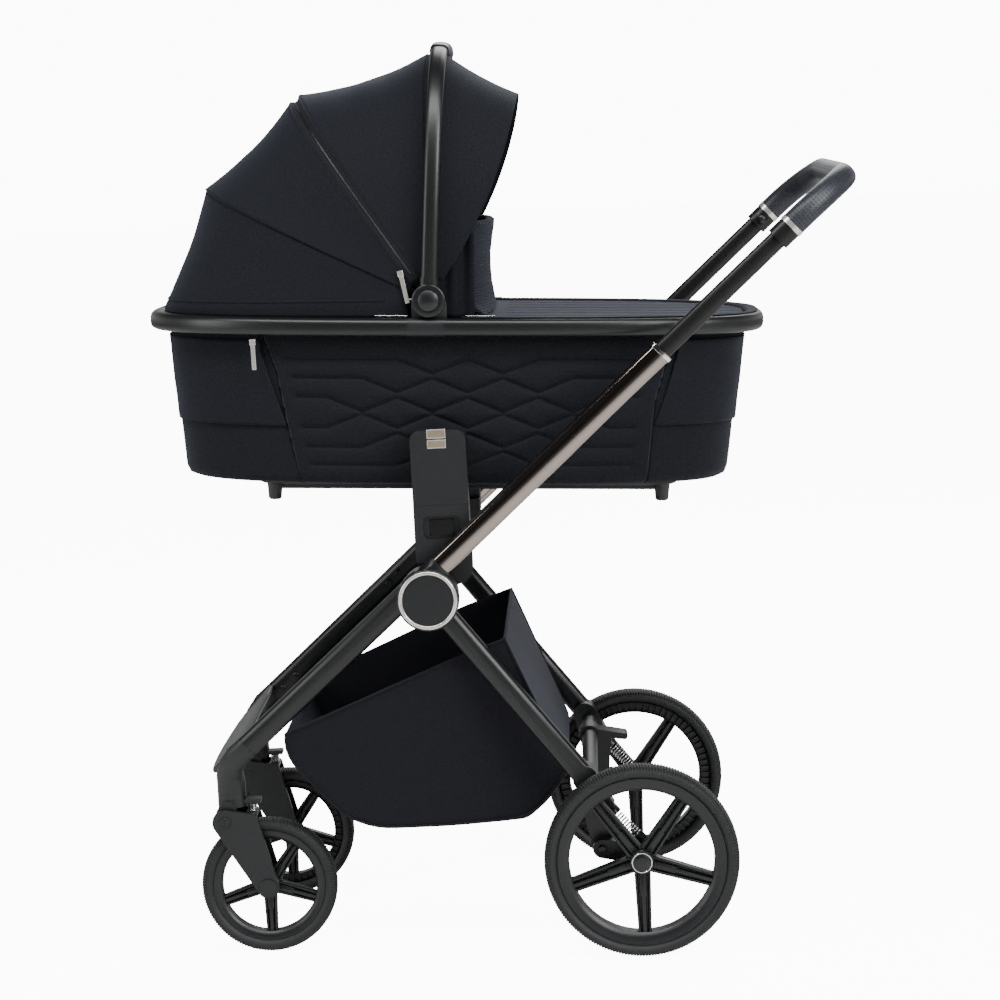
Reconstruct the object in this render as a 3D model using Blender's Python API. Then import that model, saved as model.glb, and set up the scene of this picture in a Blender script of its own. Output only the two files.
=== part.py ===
"""A pram: a sprung folding chassis that carries a lift-off carrycot with a fan-folding hood.

Metres, +Z up. The front castors are towards -X and the push handle towards +X.
Left is -Y. The origin is on the ground under the middle of the pram.
"""

import math

import bmesh
import bpy
from mathutils import Matrix, Vector

# Fits and walls
GAP = 0.0003
PIN_PLAY = 0.0003
SLIDE_PLAY = 0.0005

# Wheels
REAR_WHEEL_RADIUS = 0.134
REAR_WHEEL_WIDTH = 0.042
REAR_TYRE_HEIGHT = 0.0175
REAR_RIM_DEPTH = 0.017
REAR_TRACK = 0.555
FRONT_WHEEL_RADIUS = 0.0958
FRONT_WHEEL_WIDTH = 0.035
FRONT_TYRE_HEIGHT = 0.0165
FRONT_RIM_DEPTH = 0.0125
FRONT_TRACK = 0.333
FRONT_AXLE_X = -0.362
WHEELBASE = 0.5243
SPOKES = 5
SPOKE_WEB = 0.005
AXLE_RADIUS = 0.006
FRONT_AXLE_RADIUS = 0.004
TYRE_CLEARANCE = 0.0053

# Fold hub, where the front arms, the rear legs and the handle meet
HUB_X = -0.112
HUB_Z = 0.506
HUB_RADIUS = 0.0426
KNUCKLE_RADIUS = 0.040
HUB_PIN_RADIUS = 0.006
ARM_KNUCKLE = 0.025
LEG_KNUCKLE = 0.0244
COVER_DEPTH = 0.0265
HUB_RING_WIDTH = 0.005
HUB_RING_RISE = 0.001
HUB_RING_SEAT = 0.0015
HUB_RING_INSET = 0.0021

# Handle
HANDLE_ANGLE = math.radians(41.5)
LINE_OFFSET = 0.0215
OUTER_TUBE = (0.0215, 0.0325)
OUTER_WALL = 0.0015
INNER_TUBE = (0.0165, 0.026)
SOCKET_REACH = 0.045
SOCKET_WALL = 0.0018
OUTER_TUBE_END = 0.458
INNER_TUBE_START = 0.285
COLLAR_START = 0.678
GRIP_START = 0.7085
CROSSBAR_REACH = 0.804
CROSSBAR_DROP = 0.006
HANDLE_BEND = 0.088
GRIP_SECTION = (0.0310, 0.0345)
TRIM_RING_LENGTH = 0.007
BUTTON_RADIUS = 0.0065
BUTTON_POCKET = 0.0075
BUTTON_DEPTH = 0.0045
BUTTON_PROUD = 0.0010

# Front frame
ARM_ANGLE = math.radians(41.3)
ARM_SECTION = (0.024, 0.033)
ARM_LENGTH = 0.335
ARM_LEAN_IN = 0.0015
CASTOR_X = -0.408
HOUSING_SECTION = (0.036, 0.040)
HOUSING_BOTTOM = 0.2212
CASTOR_STEM_RADIUS = 0.008
CASTOR_STEM_LENGTH = 0.029
FOOTREST_THICKNESS = 0.009
FOOTREST_BOW = 0.014
FOOTREST_TOE = (0.024, 0.0379)
FOOTREST_HEEL = (0.006, 0.005)
FOOTREST_INSET = 0.001
FOOTREST_EASE = 0.018
FOOTREST_TOE_SHARE = 0.2

# Sprung front fork
FORK_PIVOT = (-0.4173, 0.1913)
FORK_PIVOT_RADIUS = 0.0183
FORK_CHEEK = 0.007
FORK_TIP_RADIUS = 0.0155
FORK_LUG_X = -0.380
FORK_LUG_TOP = 0.2015
FORK_LUG_DEPTH = 0.005
FORK_PIN_RADIUS = 0.004
SHELF_DEPTH = 0.0064
FRONT_COIL_RADIUS = 0.0056
FRONT_WIRE_RADIUS = 0.0009
FRONT_CURLS = 4

# Rear frame and trailing suspension
LEG_ANGLE = math.radians(-52.4)
LEG_SECTION = (0.0225, 0.031)
LEG_LENGTH = 0.343
BRACKET_DEPTH = 0.0412
BRACKET_CHEEK = 0.0115
ARM_PLATE_THICKNESS = 0.0244
SUSPENSION_PIVOT = (0.109, 0.1435)
SPRING_TOP = (0.1290, 0.1900)
SPRING_BOTTOM = (0.1565, 0.1590)
REAR_COIL_RADIUS = 0.0078
REAR_WIRE_RADIUS = 0.0010
REAR_CURLS = 7
SPRING_CUP_RADIUS = 0.0100
CROSSBAR_X = 0.0968
CROSSBAR_Z = 0.2345
CROSSBAR_RADIUS = 0.011
PEDAL_Y = 0.115
PEDAL_WIDTH = 0.044
PEDAL_REACH = 0.052

# Carrycot posts
POST_X = (-0.1275, -0.0515)
POST_PROUD = 0.0120
POST_CORNER = 0.013
SOCKET_RISE = 0.0090
SOCKET_FOOT_HEIGHT = 0.0375
SOCKET_HEIGHT = 0.0787
POST_HEIGHT = 0.1028
SOCKET_PLATE_DEPTH = 0.021
SOCKET_LAP = 0.0045
TONGUE = (0.036, 0.014, 0.030)
TONGUE_SETBACK = 0.0025
RELEASE_BUTTON = (0.0330, 0.0215)
RELEASE_DROP = 0.0307
RELEASE_TRAVEL = 0.0035
RECESS_DEPTH = 0.0045

# Carrycot, in its own tilted frame: u along, v across, w up from the middle of the rim
COT_TILT = math.radians(2.88)
COT_X = -0.063
COT_Z = 0.8713
RIM_HALF_LENGTH = 0.4356
RIM_OVERHANG = 0.0260
RIM_POWER = 3.0
RIM_SECTION = (0.0265, 0.0255)
SHELL_DEPTH = 0.2187
SHELL_END_TAPER = 0.024
SHELL_WALL = 0.004
SHELL_TOP = 0.006
SHELL_BASE_ROUND = 0.012
FLOOR_BOARD = (-0.277, 0.314, 0.006)
FLOOR_BOARD_INSET = 0.0487
FLOOR_POWER = 8.0
FOOT_U = (-0.2516, 0.2904)
FOOT_INSET = 0.0270
FOOT_HEIGHT = 0.0225
FOOT_RADII = (0.0112, 0.0092)
MATTRESS_THICKNESS = 0.030
MATTRESS_CROWN = 0.006
APRON_START_U = 0.008
APRON_BAND_END_U = 0.078
APRON_BAND_THICKNESS = 0.002
APRON_THICKNESS = 0.0050
APRON_CROWN = 0.0010
APRON_RIM_SHARE = 0.45
APRON_CHANNELS = 7
APRON_CHANNEL_DEPTH = 0.0012
FLAP_U = 0.0575
FLAP_HEIGHT = 0.1275
FLAP_INSET = 0.0555
FLAP_THICKNESS = 0.016
FLAP_WAIST = 0.0095
FLAP_BOW = 0.0275
FLAP_RIBS = 6

# Hood and carry handle, which turn about one pivot
PIVOT_X = -0.0923
PIVOT_Z = 0.9100
EYE_RADIUS = 0.017
EYE_DEPTH = 0.0035
EAR_DEPTH = 0.0100
EAR_RADIUS = 0.0205
HANDLE_EYE_DEPTH = 0.0170
HANDLE_EYE_RADIUS = 0.0230
PIVOT_PIN_RADIUS = 0.004
PIVOT_BUTTON_RADIUS = 0.0150
PIVOT_BUTTON_RISE = 0.0030
PIVOT_BUTTON_TRAVEL = 0.0025
BOW_INSET = 0.0325
REAR_BOW = (math.radians(-63.0), 0.3540)
MID_BOW = (math.radians(-30.6), 0.3327)
CARRY_HANDLE = (math.radians(4.5), 0.3525)
VISOR_EDGE = (math.radians(25.8), 0.3014)
VISOR_LEAD = math.radians(13.0)
CARRY_SECTION = (0.0150, 0.0165)
CARRY_WIDTH_AT_TOP = 0.023
SLEEVE_HALF_LENGTH = 0.085
SLEEVE_WALL = 0.0020
SLEEVE_PLAY = 0.0005
HOOD_POWER = 2.9
HOOD_FABRIC = 0.003
HOOD_REACH = 0.3844
HOOD_INSET = 0.0210
HOOD_SAG_REAR = 0.0040
HOOD_SAG_MIDDLE = 0.0080
HOOD_SAG_FRONT = 0.0095
HOOD_EYE_REACH = 0.030
BOW_STRIP = (0.003, 0.008)
MID_BOW_STRIP = (0.0032, 0.010)
BOW_CLEARANCE = 0.0028

# Basket
BASKET_OUTLINE = (
    (-0.3233, 0.3180),
    (-0.3270, 0.2957),
    (-0.3134, 0.2667),
    (-0.2478, 0.1880),
    (-0.2025, 0.1693),
    (0.0066, 0.1743),
    (0.0364, 0.2000),
    (0.0700, 0.2450),
    (-0.0120, 0.4400),
    (-0.0830, 0.4158),
)
BASKET_FULL_Z = 0.400
BASKET_FOOT_SHARE = 0.80
BASKET_WALL = 0.003

# Facets
WHEEL_STEPS = 32
FRONT_WHEEL_STEPS = 26
DISC_STEPS = 24
PIN_STEPS = 10
TUBE_STEPS = 12
TUBE_POWER = 2.8

# Places that follow from the sizes above
HUB = Vector((HUB_X, 0.0, HUB_Z))
HANDLE_DIRECTION = Vector((math.cos(HANDLE_ANGLE), 0.0, math.sin(HANDLE_ANGLE)))
HANDLE_NORMAL = Vector((-math.sin(HANDLE_ANGLE), 0.0, math.cos(HANDLE_ANGLE)))
HANDLE_FOOT = HUB + HANDLE_NORMAL * LINE_OFFSET
ARM_DIRECTION = Vector((-math.cos(ARM_ANGLE), 0.0, -math.sin(ARM_ANGLE)))
ARM_NORMAL = Vector((-math.sin(ARM_ANGLE), 0.0, math.cos(ARM_ANGLE)))
ARM_FOOT = HUB + ARM_NORMAL * LINE_OFFSET
LEG_DIRECTION = Vector((math.cos(LEG_ANGLE), 0.0, math.sin(LEG_ANGLE)))
LEG_NORMAL = Vector((-math.sin(LEG_ANGLE), 0.0, math.cos(LEG_ANGLE)))
LEG_KNUCKLE_OUTER = REAR_TRACK / 2 - REAR_WHEEL_WIDTH / 2 - TYRE_CLEARANCE
LEG_KNUCKLE_INNER = LEG_KNUCKLE_OUTER - LEG_KNUCKLE
ARM_KNUCKLE_OUTER = LEG_KNUCKLE_INNER - GAP
HUB_INNER_Y = ARM_KNUCKLE_OUTER - ARM_KNUCKLE
COVER_INNER = LEG_KNUCKLE_OUTER + GAP
COVER_OUTER = COVER_INNER + COVER_DEPTH
LEG_Y = (LEG_KNUCKLE_INNER + LEG_KNUCKLE_OUTER) / 2
ARM_Y = (HUB_INNER_Y + ARM_KNUCKLE_OUTER) / 2
TUBE_Y = COVER_INNER + GAP + OUTER_TUBE[0] / 2
REAR_AXLE = Vector((FRONT_AXLE_X + WHEELBASE, 0.0, REAR_WHEEL_RADIUS))
FRONT_AXLE = Vector((FRONT_AXLE_X, 0.0, FRONT_WHEEL_RADIUS))
ARM_SEAM = ARM_FOOT + ARM_DIRECTION * ARM_LENGTH
ARM_SEAM_Y = HUB_INNER_Y - ARM_LEAN_IN
BRACKET_INNER_Y = LEG_KNUCKLE_OUTER - BRACKET_DEPTH
ARM_PLATE_INNER_Y = BRACKET_INNER_Y + BRACKET_CHEEK + GAP
RIM_HALF_WIDTH = HUB_INNER_Y + RIM_OVERHANG
POST_INNER_Y = RIM_HALF_WIDTH - RIM_SECTION[0]
POST_OUTER_Y = RIM_HALF_WIDTH + POST_PROUD
SOCKET_BASE_Z = HUB_Z + SOCKET_RISE
SOCKET_SHOULDER_Z = SOCKET_BASE_Z + SOCKET_FOOT_HEIGHT
SOCKET_TOP_Z = SOCKET_SHOULDER_Z + SOCKET_HEIGHT
POST_TOP_Z = SOCKET_TOP_Z + POST_HEIGHT
RELEASE_Z = SOCKET_TOP_Z - RELEASE_DROP
SHELL_HALF_LENGTH = RIM_HALF_LENGTH - RIM_SECTION[0] - GAP
SHELL_HALF_WIDTH = RIM_HALF_WIDTH - RIM_SECTION[0] - GAP
PIVOT = Vector((PIVOT_X, 0.0, PIVOT_Z))
BOW_INNER_Y = RIM_HALF_WIDTH - BOW_INSET
HOOD_HALF_WIDTH = RIM_HALF_WIDTH - HOOD_INSET
FLAP_HALF_WIDTH = RIM_HALF_WIDTH - FLAP_INSET
FLOOR_HALF_WIDTH = RIM_HALF_WIDTH - RIM_SECTION[0] - GAP - FLOOR_BOARD_INSET
FOOT_V = FLOOR_HALF_WIDTH - FOOT_INSET
MID_EYE_INNER = BOW_INNER_Y + EYE_DEPTH + GAP
EAR_INNER = MID_EYE_INNER + EYE_DEPTH + GAP
EAR_OUTER = EAR_INNER + EAR_DEPTH
HANDLE_EYE_INNER = EAR_OUTER + GAP
HANDLE_EYE_OUTER = HANDLE_EYE_INNER + HANDLE_EYE_DEPTH
CARRY_Y = HANDLE_EYE_INNER + CARRY_SECTION[0] / 2 + 0.0005


# Scene and materials


def clear_scene():
    """Remove every object of the opened scene."""
    for item in list(bpy.context.scene.objects):
        bpy.data.objects.remove(item, do_unlink=True)


def material(name, colour, roughness, metallic=0.0):
    """A Principled material from a linear colour."""
    made = bpy.data.materials.new(name)
    made.use_nodes = True
    shader = made.node_tree.nodes["Principled BSDF"]
    shader.inputs["Base Color"].default_value = (*colour, 1.0)
    shader.inputs["Roughness"].default_value = roughness
    shader.inputs["Metallic"].default_value = metallic
    made.diffuse_color = (*colour, 1.0)
    return made


def empty(name, place, turn=0.0, parent=None):
    """A joint's empty at a world place, turned about Y."""
    made = bpy.data.objects.new(name, None)
    made.empty_display_size = 0.03
    made.location = place
    made.rotation_euler = (0.0, turn, 0.0)
    bpy.context.scene.collection.objects.link(made)
    if parent is not None:
        made.parent = parent
        made.matrix_parent_inverse = world_of(parent).inverted()
    made["place"] = tuple(place)
    made["turn"] = turn
    return made


def world_of(item):
    """World matrix of an empty, from the values that placed it."""
    return Matrix.Translation(item["place"]) @ Matrix.Rotation(item["turn"], 4, "Y")


def link_mesh(name, shape, axis):
    """An object for a bmesh whose points are already in the frame of its axis empty."""
    bmesh.ops.remove_doubles(shape, verts=shape.verts, dist=0.000002)
    bmesh.ops.recalc_face_normals(shape, faces=shape.faces)
    mesh = bpy.data.meshes.new(name)
    shape.to_mesh(mesh)
    shape.free()
    made = bpy.data.objects.new(name, mesh)
    bpy.context.scene.collection.objects.link(made)
    made.parent = axis
    return made


def part(name, finish, axis, shape, joined=(), cut=(), local=False):
    """One named piece. Shapes come in world places, unless local, and go into the frame of axis.

    The joined shapes are fused to the first one, and the cut shapes are taken out of it.
    """
    to_axis = Matrix.Identity(4) if local else world_of(axis).inverted()
    shape.transform(to_axis)
    made = link_mesh(name, shape, axis)
    made.data.materials.append(finish)
    for kind, tools in (("UNION", joined), ("DIFFERENCE", cut)):
        for number, tool in enumerate(tools):
            tool.transform(to_axis)
            guide = link_mesh(f"{name}_{kind.lower()}_{number}", tool, axis)
            guide.hide_render = True
            guide.hide_set(True)
            guide.display_type = "WIRE"
            step = made.modifiers.new(f"{kind.lower()}_{number}", "BOOLEAN")
            step.operation = kind
            step.solver = "EXACT"
            step.object = guide
    made.data.shade_smooth()
    made.data.set_sharp_from_angle(angle=math.radians(32))
    return made


# Outlines and solids


def oval(width, height, power=2.5, steps=TUBE_STEPS):
    """Points of a superellipse section, as (across, up) pairs."""
    points = []
    for number in range(steps):
        angle = 2 * math.pi * (number + 0.5) / steps
        c, s = math.cos(angle), math.sin(angle)
        across = math.copysign(abs(c) ** (2 / power), c) * width / 2
        up = math.copysign(abs(s) ** (2 / power), s) * height / 2
        points.append((across, up))
    return points


def placed(section, centre, across, up):
    """A section's points in space."""
    return [centre + across * a + up * b for a, b in section]


def skin(rings, closed=False, caps=True):
    """A solid through rings of as many points each, with flat ends or closed round on itself."""
    shape = bmesh.new()
    loops = [[shape.verts.new(point) for point in ring] for ring in rings]
    count = len(loops[0])
    pairs = list(zip(loops, loops[1:]))
    if closed:
        pairs.append((loops[-1], loops[0]))
    for low, high in pairs:
        for number in range(count):
            after = (number + 1) % count
            shape.faces.new((low[number], low[after], high[after], high[number]))
    if caps and not closed:
        shape.faces.new(reversed(loops[0]))
        shape.faces.new(loops[-1])
    return shape


def sweep(points, section, up, bore=None):
    """A tube along points, with its section's height towards up, and hollow where a bore is given."""
    outer = []
    inner = []
    last = len(points) - 1
    for number, point in enumerate(points):
        before = points[max(number - 1, 0)]
        after = points[min(number + 1, last)]
        ahead = (after - before).normalized()
        across = ahead.cross(up).normalized()
        rise = across.cross(ahead).normalized()
        outer.append(placed(section, point, across, rise))
        if bore is not None:
            inner.append(placed(bore, point, across, rise))
    if bore is None:
        return skin(outer)
    return skin(outer + inner[::-1], closed=True)


def plate(outline, low, high):
    """A solid between two y values from an outline of (x, z) points."""
    rings = [[Vector((x, y, z)) for x, z in outline] for y in (low, high)]
    return skin(rings)


def block(x_range, y_range, z_range):
    """A box between three ranges."""
    left, right = x_range
    low, high = z_range
    outline = [(left, low), (right, low), (right, high), (left, high)]
    return plate(outline, min(y_range), max(y_range))


def turned(profile, centre, side=1, steps=DISC_STEPS, closed=False):
    """A turned solid about a line along Y through centre, from (radius, y) points.

    A profile that isn't closed starts and ends on the axis.
    """
    rings = []
    for radius, y in profile:
        ring = []
        for number in range(steps):
            angle = 2 * math.pi * number / steps
            x = centre[0] + radius * math.cos(angle)
            z = centre[-1] + radius * math.sin(angle)
            ring.append(Vector((x, side * y, z)))
        rings.append(ring)
    return skin(rings, closed=closed, caps=False)


def pin(centre, radius, low, high, side=1, steps=PIN_STEPS):
    """A round pin along Y."""
    return turned([(0, low), (radius, low), (radius, high), (0, high)], centre, side, steps)


def post(centre_x, centre_y, radius, low, high, steps=PIN_STEPS):
    """A round pin along Z."""
    rings = []
    for z in (low, high):
        ring = []
        for number in range(steps):
            angle = 2 * math.pi * number / steps
            ring.append(Vector((centre_x + radius * math.cos(angle), centre_y + radius * math.sin(angle), z)))
        rings.append(ring)
    return skin(rings)


def around(circles, steps=28):
    """The outline drawn tight round some circles of (x, z, radius), as a belt runs."""
    points = []
    for x, z, radius in circles:
        for number in range(steps):
            angle = 2 * math.pi * number / steps
            points.append((x + radius * math.cos(angle), z + radius * math.sin(angle)))
    points = sorted(set(points))

    def half(ordered):
        chain = []
        for point in ordered:
            while len(chain) > 1 and turn_of(chain[-2], chain[-1], point) <= 1e-12:
                chain.pop()
            chain.append(point)
        return chain[:-1]

    return half(points) + half(points[::-1])


def turn_of(a, b, c):
    """Positive where a, b and c turn to the left."""
    return (b[0] - a[0]) * (c[1] - a[1]) - (b[1] - a[1]) * (c[0] - a[0])


def rounded_box(x_range, z_range, radii, steps=4):
    """A box outline of (x, z) points with a radius for each corner, from low left, the way round to high left."""
    (x0, x1), (z0, z1) = x_range, z_range
    corners = (
        (x0, z0, 1, 1, math.pi),
        (x1, z0, -1, 1, 1.5 * math.pi),
        (x1, z1, -1, -1, 0.0),
        (x0, z1, 1, -1, 0.5 * math.pi),
    )
    outline = []
    for (x, z, toward_x, toward_z, start), radius in zip(corners, radii):
        if radius == 0:
            outline.append((x, z))
            continue
        for number in range(steps + 1):
            angle = start + 0.5 * math.pi * number / steps
            outline.append(
                (
                    x + radius * (toward_x + math.cos(angle)),
                    z + radius * (toward_z + math.sin(angle)),
                )
            )
    return outline


def rod(start, end, radius, steps=PIN_STEPS):
    """A round bar from one place to another."""
    ahead = (end - start).normalized()
    across = ahead.cross(Vector((0, 1, 0))).normalized()
    up = across.cross(ahead)
    section = [
        (radius * math.cos(2 * math.pi * k / steps), radius * math.sin(2 * math.pi * k / steps)) for k in range(steps)
    ]
    return skin([placed(section, start, across, up), placed(section, end, across, up)])


def coil(name, finish, axis, start, end, radius, wire, curls):
    """A compression spring as one curve tube, whose curls run from one seat to the other."""
    origin = world_of(axis).inverted()
    length = (end - start).length
    ahead = (end - start) / length
    across = ahead.cross(Vector((0, 1, 0))).normalized()
    up = across.cross(ahead)
    per_curl = 8
    total = curls * per_curl
    inset = wire + GAP
    points = []
    for number in range(total + 1):
        angle = 2 * math.pi * number / per_curl
        reach = inset + (length - 2 * inset) * number / total
        around_axis = across * (radius * math.cos(angle)) + up * (radius * math.sin(angle))
        points.append(start + ahead * reach + around_axis)
    pitch = (length - 2 * inset) / curls
    least = min(
        (points[low] - points[high]).length
        for low in range(total + 1)
        for high in range(low + per_curl // 2, total + 1)
    )
    print(f"{name}: pitch {pitch * 1000:.2f} mm, least gap to itself {(least - 2 * wire) * 1000:.2f} mm")
    curve = bpy.data.curves.new(name, "CURVE")
    curve.dimensions = "3D"
    curve.bevel_depth = wire
    curve.bevel_resolution = 0
    curve.use_fill_caps = True
    line = curve.splines.new("POLY")
    line.points.add(total)
    for number, point in enumerate(points):
        line.points[number].co = (*(origin @ point), 1.0)
    made = bpy.data.objects.new(name, curve)
    curve.materials.append(finish)
    bpy.context.scene.collection.objects.link(made)
    made.parent = axis
    return made


# Wheels


def tyre_profile(radius, width, height):
    """A tyre's closed profile as (radius, y) points about the wheel's middle plane."""
    half = width / 2
    seat = radius - height
    return [
        (seat, -half * 0.72),
        (seat + height * 0.48, -half),
        (radius - height * 0.12, -half * 0.66),
        (radius, -half * 0.24),
        (radius, half * 0.24),
        (radius - height * 0.12, half * 0.66),
        (seat + height * 0.48, half),
        (seat, half * 0.72),
    ]


def tyre(name, finish, axis, centre, radius, width, height, steps):
    """A solid tyre on its rim."""
    profile = [(r, centre.y + y) for r, y in tyre_profile(radius, width, height)]
    return part(name, finish, axis, turned(profile, centre, steps=steps, closed=True))


def spoke(centre, angle, start, end, depth, width_in, width_out):
    """An I-beam spoke in the wheel's plane: two ribs and a thinner web."""
    ahead = Vector((math.cos(angle), 0, math.sin(angle)))
    across = Vector((-math.sin(angle), 0, math.cos(angle)))
    up = Vector((0, 1, 0))
    rings = []
    for reach, width in ((start, width_in), (end, width_out)):
        half = width / 2
        rib = width * 0.27
        high = depth / 2
        web = SPOKE_WEB / 2
        outline = [
            (-half, -high),
            (-half + rib, -high),
            (-half + rib, -web),
            (half - rib, -web),
            (half - rib, -high),
            (half, -high),
            (half, high),
            (half - rib, high),
            (half - rib, web),
            (-half + rib, web),
            (-half + rib, high),
            (-half, high),
        ]
        rings.append(placed(outline, centre + ahead * reach, across, up))
    return skin(rings)


def spoked_wheel(name, finish, axis, centre, seat, rim_depth, rim_width, hub, bore, spoke_size, steps, start):
    """A moulded wheel: rim, spokes and a hub with its bore.

    hub is (radius, inner y, outer y) and bore is (radius, inner y, outer y), both from the wheel's middle plane.
    """
    half = rim_width / 2
    inner = seat - rim_depth
    rim = [
        (inner, -half * 0.86),
        (inner + rim_depth * 0.55, -half),
        (seat - GAP, -half * 0.97),
        (seat - GAP, half * 0.97),
        (inner + rim_depth * 0.55, half),
        (inner, half * 0.86),
    ]
    ring = turned([(r, centre.y + y) for r, y in rim], centre, steps=steps, closed=True)
    hub_radius, low, high = hub
    core = [(0, low), (hub_radius, low), (hub_radius, high - 0.002), (hub_radius - 0.002, high), (0, high)]
    joined = [turned([(r, centre.y + y) for r, y in core], centre, steps=20)]
    depth, width_in, width_out = spoke_size
    for number in range(SPOKES):
        angle = start + 2 * math.pi * number / SPOKES
        reach = (hub_radius * 0.72, inner + rim_depth * 0.35)
        joined.append(spoke(centre, angle, *reach, depth, width_in, width_out))
    hole = pin(centre, bore[0], centre.y + bore[1], centre.y + bore[2], steps=16)
    return part(name, finish, axis, ring, joined=joined, cut=[hole])


# Chassis


def front_arm(side, word, finish, axis):
    """An oval tube from the fold hub down to the castor casting, with the hub's inner knuckle and its pin."""
    top = ARM_FOOT + Vector((0, side * ARM_Y, 0))
    seam = ARM_SEAM + Vector((0, side * ARM_SEAM_Y, 0)) - ARM_DIRECTION * (GAP / 2)
    section = oval(*ARM_SECTION, TUBE_POWER)
    tube = skin([placed(section, place, Vector((0, 1, 0)), ARM_NORMAL) for place in (top, seam)])
    knuckle = turned(
        [
            (0, HUB_INNER_Y),
            (KNUCKLE_RADIUS - 0.002, HUB_INNER_Y),
            (KNUCKLE_RADIUS, HUB_INNER_Y + 0.002),
            (KNUCKLE_RADIUS, ARM_KNUCKLE_OUTER),
            (0, ARM_KNUCKLE_OUTER),
        ],
        HUB,
        side,
    )
    hub_pin = pin(HUB, HUB_PIN_RADIUS, HUB_INNER_Y + 0.004, COVER_OUTER - 0.007, side, 16)
    return part(f"front_arm_{word}", finish, axis, knuckle, joined=[tube, hub_pin])


def housing_ring(x, y, z, angle, width, height):
    """A section of the castor casting, square to a direction that dips by angle towards the front."""
    slope = math.radians(angle)
    up = Vector((-math.sin(slope), 0, math.cos(slope)))
    return placed(oval(width, height, TUBE_POWER), Vector((x, y, z)), Vector((0, 1, 0)), up)


def elbow_rows():
    """The bend's sections as (x, y, z, slope, growth from the arm's section to the housing's)."""
    seam = ARM_SEAM + ARM_DIRECTION * (GAP / 2)
    drop = seam.z - HOUSING_BOTTOM
    reach = CASTOR_X - seam.x
    inward = FRONT_TRACK / 2 - ARM_SEAM_Y
    slope = math.degrees(ARM_ANGLE)
    # Each row: shares of the reach forward, of the shift inward and of the drop, then slope and growth
    shares = (
        (0.0, 0.0, 0.0, slope, 0.0),
        (0.55, 0.12, 0.18, slope + 5, 0.2),
        (0.88, 0.42, 0.37, slope + 21, 0.5),
        (1.0, 0.78, 0.57, slope + 41, 0.85),
        (1.0, 1.0, 0.72, 90.0, 1.0),
        (1.0, 1.0, 1.0, 90.0, 1.0),
    )
    rows = []
    for forward, shift, fall, angle, growth in shares:
        rows.append((seam.x + reach * forward, ARM_SEAM_Y + inward * shift, seam.z - drop * fall, angle, growth))
    return rows


def castor_elbow(side):
    """The casting's bend from the arm's seam down to the castor housing."""
    width, height = ARM_SECTION
    house_width, house_height = HOUSING_SECTION
    rings = []
    for x, y, z, angle, growth in elbow_rows():
        wide = width + (house_width - width) * growth
        tall = height + (house_height - height) * growth
        rings.append(housing_ring(x, side * y, z, angle, wide, tall))
    return skin(rings)


def footrest_side(place, along, seam_x):
    """How far the footrest reaches sideways: to the middle of the bends, but clear of the arms past their seam."""
    rows = elbow_rows()
    least = None
    reach = 0.0
    for back, front in zip(rows, rows[1:]):
        step = Vector((front[0] - back[0], 0, front[2] - back[2]))
        offset = Vector((place.x - back[0], 0, place.z - back[2]))
        share = min(1.0, max(0.0, offset.dot(step) / max(step.length_squared, GAP * GAP)))
        distance = (offset - step * share).length
        if least is None or distance < least:
            least = distance
            reach = back[1] + (front[1] - back[1]) * share
    toe = max(0.0, 1 - along / FOOTREST_TOE_SHARE)
    reach += (FRONT_TRACK / 2 - reach) * toe
    past = min(1.0, max(0.0, 1 - (seam_x - place.x) / FOOTREST_EASE))
    return reach - (ARM_SECTION[0] / 2 + GAP) * past


def footrest_section(length):
    """The plate's section as (along, up) pairs: flat faces with a rounded toe and heel."""
    half = FOOTREST_THICKNESS / 2
    face = [(0.0, 0.35), (0.035, 0.9), (0.2, 1.0), (0.4, 1.0), (0.6, 1.0), (0.8, 1.0), (0.965, 0.9), (1.0, 0.35)]
    upper = [((along - 0.5) * length, rise * half) for along, rise in reversed(face)]
    lower = [((along - 0.5) * length, -rise * half) for along, rise in face]
    return upper + lower


def footrest_slab():
    """The bowed plate between the two castor housings: its toe spans the housings and its heel the arms."""
    lower = Vector((CASTOR_X - FOOTREST_TOE[0], 0, HOUSING_BOTTOM + FOOTREST_TOE[1]))
    heel_rise = ARM_SECTION[1] / 2 - FOOTREST_THICKNESS / 2 - FOOTREST_INSET
    upper = ARM_SEAM + ARM_NORMAL * heel_rise + Vector((FOOTREST_HEEL[0], 0, FOOTREST_HEEL[1]))
    ahead = (upper - lower).normalized()
    rise = Vector((-ahead.z, 0, ahead.x))
    seam_x = ARM_SEAM.x + ARM_NORMAL.x * ARM_SECTION[1] / 2
    rings = []
    stations = 8
    for number in range(stations + 1):
        share = 2 * number / stations - 1
        bow = FOOTREST_BOW * (1 - share * share)
        low = lower - ahead * bow
        length = (upper - low).length
        ring = placed(footrest_section(length), (low + upper) / 2, ahead, rise)
        for point in ring:
            along = min(1.0, max(0.0, (point - low).dot(ahead) / length))
            point.y = share * footrest_side(lower.lerp(upper, along), along, seam_x)
        rings.append(ring)
    shape = skin(rings, caps=False)
    shape.verts.ensure_lookup_table()
    count = len(rings[0])
    # The ends are closed face to face, because they aren't flat
    for first in (0, count * stations):
        for number in range(count // 2 - 1):
            corners = (number, number + 1, count - 2 - number, count - 1 - number)
            shape.faces.new([shape.verts[first + corner] for corner in corners])
    bmesh.ops.recalc_face_normals(shape, faces=shape.faces[:])
    return shape


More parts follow.
